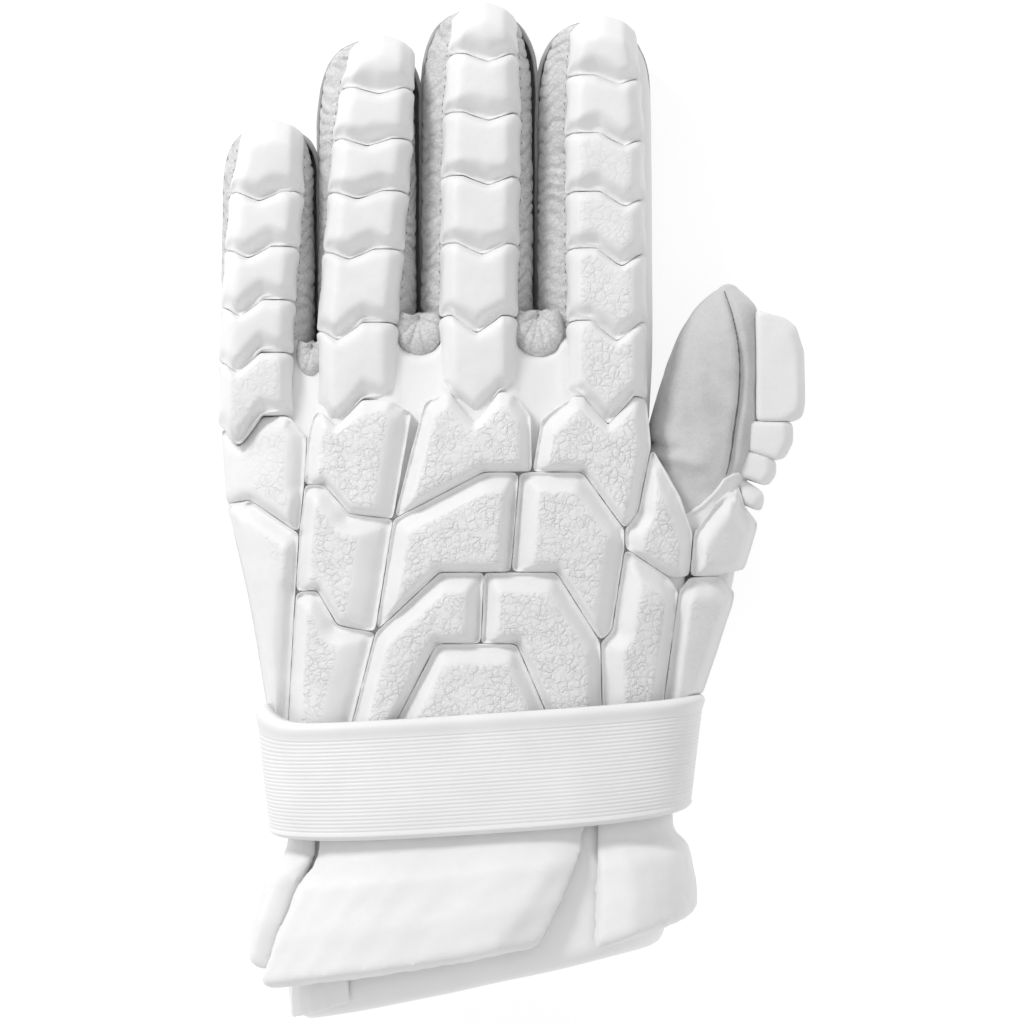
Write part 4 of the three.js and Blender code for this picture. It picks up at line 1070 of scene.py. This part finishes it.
def stitches(name, path):
    """A run of small thread stitches along a path, each one dipping into the cloth at its ends."""
    form = bmesh.new()
    steps = [(q - p).length for p, q in zip(path, path[1:])]
    starts = np.concatenate([[0.0], np.cumsum(steps)])
    columns = [[p[axis] for p in path] for axis in range(3)]
    at = STITCH_GAP
    number = 0
    while at + STITCH_LENGTH < starts[-1]:
        sway = 0.14 * MM * noise.noise(Vector((at * 400, number * 0.7, 1.3)))
        rings = []
        for n in range(STITCH_STEPS + 1):
            run = at + STITCH_LENGTH * n / STITCH_STEPS
            centre = Vector([np.interp(run, starts, column) for column in columns])
            after = Vector([np.interp(run + 0.1 * MM, starts, column) for column in columns])
            way = (after - centre).normalized()
            side = way.cross(Vector((0, 0, 1))).normalized()
            lift = STITCH_RADIUS * (1.5 * math.sin(math.pi * n / STITCH_STEPS) - 0.9)
            centre += side * sway + Vector((0, 0, lift))
            up = side.cross(way)
            size = STITCH_RADIUS * (0.6 if n in (0, STITCH_STEPS) else 1.0)
            rings.append([form.verts.new(p) for p in round_section(centre, size, side, up, STITCH_SIDES)])
        for lower, upper in zip(rings, rings[1:]):
            for m in range(STITCH_SIDES):
                following = (m + 1) % STITCH_SIDES
                form.faces.new((lower[m], lower[following], upper[following], upper[m]))
        form.faces.new(rings[0][::-1])
        form.faces.new(rings[-1])
        number += 1
        at += STITCH_LENGTH + STITCH_GAP * (1 + 1.2 * noise.noise(Vector((number * 0.37, 2.1, 0))))
    bmesh.ops.recalc_face_normals(form, faces=form.faces)
    mesh = bpy.data.meshes.new(name)
    form.to_mesh(mesh)
    form.free()
    stands_for(add_object(name, mesh, THREAD), "finger_knit")


def round_section(centre, size, side, up, count):
    """Points round a thread's or a cord's section."""
    return [centre + size * (math.cos(t) * side + math.sin(t) * up) for t in turns_round(count)]


def pad_stitches(finger, sleeve):
    """Stitches along both long edges of a finger's pads, but along only its outer edge on the index finger."""
    tree = tree_of(sleeve)
    for side, edge_name in ((-1, "outer"), (1, "inner")):
        if finger["name"] == "index" and side == 1:
            continue
        path = []
        for along in np.linspace(max(finger["root"], -0.02) + 0.02, 0.9, 120):
            middle, half = pad_at(finger, along)
            x, y = middle + side * (half + 0.15 * MM), CROTCH_Y + along * finger["length"]
            z = height_over(tree, x, y)
            if z is not None:
                path.append(Vector((x, y, z)))
        stitches(f"{finger['name']}_pad_stitches_{edge_name}", path)


for finger in FINGERS:
    pad_stitches(finger, bpy.data.objects[finger["name"] + "_knit_sleeve"])


SKIN_VOXEL = 0.9 * MM
SKIN_ROUNDS = 4
SKIN_KEPT = 0.27  # share of a skin's faces that thinning keeps


def skin_over(name, node, material, slot):
    piece = remeshed(name, node, SKIN_VOXEL, material)
    mesh = piece.data
    set_coordinates(mesh, relaxed(coordinates(mesh), edges_of(mesh), SKIN_ROUNDS))
    push_out(mesh, leather_bump)
    thinned(piece, SKIN_KEPT)
    stands_for(piece, slot, node)


skin_over("palm_suede", "palm_leather", PALM_SUEDE, "palm_leather")
skin_over("back_cloth", "back_base", BASE_CLOTH, "base_cloth")

# The thumb's side seam from the root up, with its reach as a share of THUMB_WIDTH from the index side
THUMB_SEAM = table(
    "along reach",
    (0.37, 0.69), (0.445, 0.755), (0.547, 0.8), (0.66, 0.845), (0.78, 0.845), (0.909, 0.786), (0.985, 0.716),
)


def thumb_seam_x(y):
    """The seam's x at a y, on a smooth curve through the table's rows."""
    along = (y - plan_y(THUMB_ROOT)) / THUMB_LENGTH
    return plan_x(0.5) + THUMB_WIDTH * between(THUMB_SEAM, "along", along)["reach"]


# Folds in the thumb's suede, as [x, y, x, y, push outwards, width], in millimetres
THUMB_FOLDS = [
    (67.5, 36.5, 77.5, 33.4, -2.0, 1.9),
    (69.5, 33.6, 85.5, 29.0, 1.1, 2.4),
    (72.0, 29.4, 84.0, 25.0, -1.3, 3.0),
    (80.0, 24.0, 86.5, 19.5, -1.4, 2.2),
    (79.0, 60.0, 84.5, 38.0, -0.9, 4.0),
    (88.5, 66.0, 92.0, 44.0, -0.7, 3.5),
]


def thumb_bump(point, facing):
    """Soft folds of suede and, on the upper side, a crease along the seam with a raised band beside it."""
    wide = noise.noise(point * 42.0 + Vector((3.1, 0.4, 0)))
    soft = 1.0 * MM + 0.7 * MM * wide + 0.2 * MM * noise.noise(point * 160.0)
    along = (point.y - plan_y(THUMB_ROOT)) / THUMB_LENGTH
    if facing.z < 0 or along < 0.2:
        return soft
    place = np.array([[point.x, point.y]])
    for x0, y0, x1, y1, push, width in THUMB_FOLDS:
        away = distance_to(place, (x0 * MM, y0 * MM), (x1 * MM, y1 * MM))[0]
        soft += push * MM * math.exp(-((away / (width * MM)) ** 2))
    off = (point.x - thumb_seam_x(point.y)) / MM
    crease = -1.5 * MM * math.exp(-((off / 0.8) ** 2))
    band = 1.0 * MM * smooth_step(0.4, 1.6, off) + 0.6 * MM * math.exp(-(((off + 2.4) / 1.6) ** 2))
    return soft + (crease + band) * smooth_step(0.36, 0.46, along) * smooth_step(1.0, 0.93, along)


# Where the suede ends at the white leather of the saddle, as [x, y], in millimetres
THUMB_HEM = [
    (99.0, 26.2), (96.6, 25.4), (94.0, 24.0), (92.4, 21.6),
    (89.8, 18.6), (86.6, 15.6), (82.0, 12.6), (74.0, 9.5),
]


# How far the thumb skin's root end draws in under the palm's edge: sideways, narrower and flatter
THUMB_TUCK_OVER = 0.2
THUMB_TUCK = (8 * MM, 7 * MM, 0.3)


def thumb_skin():
    rings = []
    shift, narrower, flatter = THUMB_TUCK
    for along in tip_spaced(0.0, THUMB_END, 130):
        centre_x, centre_z, half_x, half_z = thumb_section(along)
        tuck = smooth_step(THUMB_TUCK_OVER, 0.0, along)
        centre_x -= shift * tuck
        half_x -= narrower * tuck
        half_z *= 1 - flatter * tuck
        y = plan_y(THUMB_ROOT) + along * THUMB_LENGTH
        ring = []
        for turn in turns_round(152):
            x, z = oval(centre_x, centre_z, half_x, half_z, THUMB_POWER, turn)
            ring.append((x, y, z))
        rings.append(ring[::-1])
    mesh = grid_mesh("thumb_suede_skin", rings, closed=True)
    piece = add_object("thumb_suede_skin", mesh, THUMB_SUEDE)
    push_out(mesh, thumb_bump)
    shell(piece)
    piece.data.materials.append(PAD_LEATHER)
    hem = [[p[axis] * MM for p in reversed(THUMB_HEM)] for axis in (0, 1)]
    for polygon in piece.data.polygons:
        if polygon.center.y < np.interp(polygon.center.x, *hem) and polygon.center.z > 14 * MM:
            polygon.material_index = 1
    return stands_for(piece, "thumb_suede", "thumb_leather")


def cord_over(name, places, radius, material, slot, tree):
    """A round cord sewn down on a piece along places in the plan."""
    rows = []
    count = 160
    shares = np.linspace(0, 1, len(places))
    columns = [[p[axis] * MM for p in places] for axis in (0, 1)]
    for n in range(count):
        x, y = (float(np.interp(n / (count - 1), shares, column)) for column in columns)
        z = height_over(tree, x, y)
        if z is None:
            continue
        size = radius * (1 + 0.15 * noise.noise(Vector((n * 0.3, 0.5, 2.0))))
        before = Vector(places[0]) - Vector(places[-1])
        side = Vector((-before.y, before.x, 0)).normalized()
        rows.append(round_section(Vector((x, y, z)), size, side, Vector((0, 0, 1)), 12))
    stands_for(add_object(name, grid_mesh(name, rows, closed=True), material), slot)


SEAM_RADIUS = 0.26 * MM
HEM_RADIUS = 0.7 * MM


def thumb_seams(skin):
    """The dark thread in the thumb's side seam, and the white hem where its suede ends at the saddle."""
    tree = tree_of(skin)
    places = []
    for along in np.linspace(0.99, 0.4, 40):
        y = plan_y(THUMB_ROOT) + along * THUMB_LENGTH
        places.append((thumb_seam_x(y) / MM + 0.12 * noise.noise(Vector((along * 70, 0, 0))), y / MM))
    cord_over("thumb_seam_thread", places, SEAM_RADIUS, THREAD, "thumb_suede", tree)
    cord_over("thumb_hem", THUMB_HEM, HEM_RADIUS, PAD_LEATHER, "pad_skin", tree)


thumb_seams(thumb_skin())

# The wrist strap, cuff and flaps
WRIST_COLUMNS = 130
WRIST_X = plan_x(0.103)
STRAP_LEFT_Y = plan_y(-0.01)
STRAP_WIDTH = 36 * MM
STRAP_THICKNESS = 4 * MM
STRAP_SPAN = 146 * MM
STRAP_TAPER = 9 * MM
STRAP_SKEW = 9.5 * MM
STRAP_BOW = 3.5 * MM
STRAP_BACK_TOP = 61.9 * MM
STRAP_FLARE = 6 * MM  # how far its front edge curls forward beside the little finger's side
STRAP_BORDER = 0.13  # smooth border in front of the ribs, as a share of its width
RIB_PITCH = 1.15 * MM
RIB_HEIGHT = 0.24 * MM
CUFF_LENGTH = 84 * MM
CUFF_SKEW = 25 * MM
CUFF_WIDTH = 118 * MM
CUFF_HEIGHT = 52 * MM
CUFF_THICKNESS = 7 * MM
CUFF_UNDERSIDE = 5 * MM
CUFF_FRONT_Y = plan_y(-0.11) - 0.3 * MM
CUFF_SECTIONS = table(
    "along width top under wall drawn",
    (0, 0.98, 0.98, 1.0, 0.45, 0.2),
    (0.06, 1.0, 1.0, 1.0, 0.6, 0),
    (0.3, 1.0, 1.02, 1.0, 1.0, 0),
    (0.6, 1.01, 1.1, 0.7, 1.0, 0),
    (0.9, 1.02, 1.17, 0.4, 1.0, 0),
    (0.98, 1.01, 1.17, 0.45, 0.7, 0.16),
    (1, 1.0, 1.16, 0.5, 0.3, 0.42),
)


def wrist_point(angle, half_x, low, high, y, skew, skew_over, bow, power):
    """A point round the wrist. Its angle runs from the thumb side over the back."""
    x, z = oval(0, (low + high) / 2, half_x, (high - low) / 2, power, angle)
    forward = skew * (x / skew_over + 0.5) - bow * max(math.sin(angle), 0)
    return Vector((WRIST_X + x, y + forward, z))


def strap_point(angle, share, grow):
    top = lerp(HAND_HEIGHT + 0.3 * MM, STRAP_BACK_TOP, smooth_step(0, 1, share))
    half_x = (STRAP_SPAN - STRAP_TAPER * share) / 2 - STRAP_THICKNESS + grow
    y = STRAP_LEFT_Y - STRAP_WIDTH * share
    bow = STRAP_BOW * (0.3 + 0.7 * share)
    made = wrist_point(angle, half_x, STRAP_THICKNESS - grow, top + grow, y, STRAP_SKEW, STRAP_SPAN, bow, 3)
    side = math.exp(-(((angle - math.radians(176)) / math.radians(22)) ** 2))
    made.y += STRAP_FLARE * side * max(1 - share * 2.2, 0) ** 2
    return made


def strap_profile():
    """The strap's section as [share of its width, height over its inner side]: ribs between smooth borders."""
    made = [(0.0, 0.5 * STRAP_THICKNESS)]
    steps = 200
    for n in range(steps + 1):
        share = n / steps
        edge_gap = min(share, 1 - share) * STRAP_WIDTH
        height = STRAP_THICKNESS * lerp(0.55, 1.0, math.sqrt(1 - (1 - min(edge_gap / (2 * MM), 1)) ** 2))
        height += 0.5 * MM * math.exp(-(((share - STRAP_BORDER * 0.5) / 0.05) ** 2))
        height += 0.35 * MM * math.exp(-(((share - 0.965) / 0.02) ** 2))
        ribbed = smooth_step(STRAP_BORDER, STRAP_BORDER + 0.02, share) * smooth_step(0.955, 0.935, share)
        phase = share * STRAP_WIDTH / RIB_PITCH
        height += ribbed * RIB_HEIGHT * (abs(math.sin(math.pi * phase)) ** 0.6 - 0.9)
        made.append((share, height))
    made += [(1.0, 0.1 * MM), (0.75, 0.0), (0.5, 0.0), (0.25, 0.0), (0.0, 0.1 * MM)]
    return made


def wrist_strap():
    turns = turns_round(WRIST_COLUMNS)
    rows = [[strap_point(turn, share, grow) for turn in turns] for share, grow in strap_profile()]
    mesh = grid_mesh("ribbed_strap", rows + rows[:1], closed=True)
    piece = add_object("ribbed_strap", mesh, STRAP_RUBBER)
    return stands_for(welded(piece), "strap_elastic", "wrist_strap")


def welded(piece):
    form = bmesh.new()
    form.from_mesh(piece.data)
    bmesh.ops.remove_doubles(form, verts=form.verts, dist=1e-7)
    bmesh.ops.recalc_face_normals(form, faces=form.faces)
    form.to_mesh(piece.data)
    form.free()
    return piece


def cuff_point(along, grow, angle):
    row = between(CUFF_SECTIONS, "along", along)
    low = CUFF_UNDERSIDE * row["under"] - grow
    high = CUFF_UNDERSIDE + CUFF_HEIGHT * row["top"] + grow
    half_x = CUFF_WIDTH * row["width"] / 2 + grow
    y = CUFF_FRONT_Y - CUFF_LENGTH * along
    return wrist_point(angle, half_x, low, high, y, CUFF_SKEW * along, CUFF_WIDTH, 0, 2.6)


def cuff_band():
    turns = turns_round(WRIST_COLUMNS)
    shares = [n / 60 for n in range(61)]
    rows = []
    for outside in (True, False):
        for along in shares if outside else reversed(shares):
            row = between(CUFF_SECTIONS, "along", along)
            drawn = row["drawn"] if outside else row["drawn"] + row["wall"]
            rows.append([cuff_point(along, -CUFF_THICKNESS * drawn, turn) for turn in turns])
    mesh = grid_mesh("padded_cuff", rows + rows[:1], closed=True)
    # The band's leather is painted lighter than the flaps', against the shade under them
    piece = welded(add_object("padded_cuff", mesh, LIGHTENED_BAND_LEATHER))
    push_out(piece.data, lambda p, d: 0.5 * MM * noise.noise(p * 35.0))
    return stands_for(piece, "cuff_skin", "cuff_band", fill=0.9)


FLAP_VOXEL = 1.1 * MM
FLAP_ROUNDS = 11
BINDING_VOXEL = 0.5 * MM
BINDING_ROUNDS = 6
BINDING_REACH = 7 * MM  # how far the binding is drawn out forwards


def cuff_flap(node, lean=0.0, lift=0.0):
    """A padded flap; its free corner on the little-finger side is drawn out by lean and raised by lift."""
    piece = remeshed(node + "_pad", node, FLAP_VOXEL, CUFF_LEATHER)
    mesh = piece.data
    places = relaxed(coordinates(mesh), edges_of(mesh), FLAP_ROUNDS)
    low, high = places.min(axis=0), places.max(axis=0)
    for place in places:
        beside = smooth_step(0.5, 0.0, (place[0] - low[0]) / (high[0] - low[0]))
        free = (high[1] - place[1]) / (high[1] - low[1])
        place[0] -= lean * beside * free
        place[2] += lift * beside * free
    set_coordinates(mesh, places)
    push_out(mesh, flap_bump)
    stands_for(piece, "cuff_skin", node, fill=0.85)


def flap_bump(p, d):
    """Soft unevenness, with pebbles where the flap rolls over at its edges."""
    rolled = 1 - min(max(d.z, 0.0), 1.0)
    return 0.3 * MM * noise.noise(p * 45.0) + (0.06 + 0.3 * rolled) * MM * noise.noise(p * 260.0)


def edge_binding():
    """The strip round the cuff's rear edge, drawn out forwards to run in under the flap."""
    # The binding's leather is painted lighter, against the shade under the flap
    piece = remeshed("cuff_edge_binding", "cuff_binding", BINDING_VOXEL, LIGHTENED_BAND_LEATHER)
    places = relaxed(coordinates(piece.data), edges_of(piece.data), BINDING_ROUNDS)
    rear, front = places[:, 1].min(), places[:, 1].max()
    places[:, 1] += BINDING_REACH * (places[:, 1] - rear) / (front - rear)
    set_coordinates(piece.data, places)
    stands_for(piece, "cuff_skin", "cuff_binding")


wrist_strap()
cuff_band()
cuff_flap("cuff_flap_thumb")
cuff_flap("cuff_flap_back", lean=5.5 * MM, lift=1.4 * MM)
cuff_flap("cuff_flap_ulnar", lean=1.0 * MM)
edge_binding()


# Floor, light and camera
FLOOR_HALF = 3.0
FLOOR_GLOW = 0.79
SKY_LIGHT = 0.68
CAMERA_PLACE = (24.64 * MM, 13.45 * MM, 1889 * MM)


def floor():
    corners = [(x * FLOOR_HALF, y * FLOOR_HALF, 0) for x, y in ((-1, -1), (1, -1), (1, 1), (-1, 1))]
    mesh = mesh_of("studio_floor", corners, [(0, 1, 2, 3)])
    pale = Finish("pale_floor", 0.3, 0.9, Specular_IOR_Level=0.1)
    pale.shader.inputs["Emission Color"].default_value = (1, 1, 1, 1)
    pale.shader.inputs["Emission Strength"].default_value = FLOOR_GLOW
    pale.color(pale.ramp(pale.noise(3.0), [(0.0, 0.3), (1.0, 0.32)]))
    piece = add_object("studio_floor", mesh, pale.material)
    piece.location.z = -0.5 * MM


def area_light(name, place, target, size, power):
    lamp = bpy.data.lights.new(name, "AREA")
    lamp.shape = "DISK"
    lamp.size = size
    lamp.energy = power
    made = bpy.data.objects.new(name, lamp)
    made.location = place
    made.rotation_euler = (Vector(target) - Vector(place)).to_track_quat("-Z", "Y").to_euler()
    bpy.context.scene.collection.objects.link(made)


def studio():
    floor()
    world = bpy.data.worlds.new("studio_world")
    world.use_nodes = True
    world.node_tree.nodes["Background"].inputs["Color"].default_value = (1, 1, 1, 1)
    world.node_tree.nodes["Background"].inputs["Strength"].default_value = SKY_LIGHT
    bpy.context.scene.world = world
    area_light("key_light", (-0.75, 0.95, 0.82), (0, 0.02, 0.02), 0.36, 10.3)
    area_light("fill_light", (0.8, -0.5, 1.2), (0, 0, 0.02), 1.0, 0.5)
    bpy.context.scene.view_settings.view_transform = "Standard"


def camera():
    """The camera looks straight down on the back of the hand."""
    lens = bpy.data.cameras.new("camera")
    lens.lens = 200
    lens.sensor_width = 36
    made = bpy.data.objects.new("camera", lens)
    made.location = CAMERA_PLACE
    bpy.context.scene.collection.objects.link(made)
    bpy.context.scene.camera = made


studio()
camera()
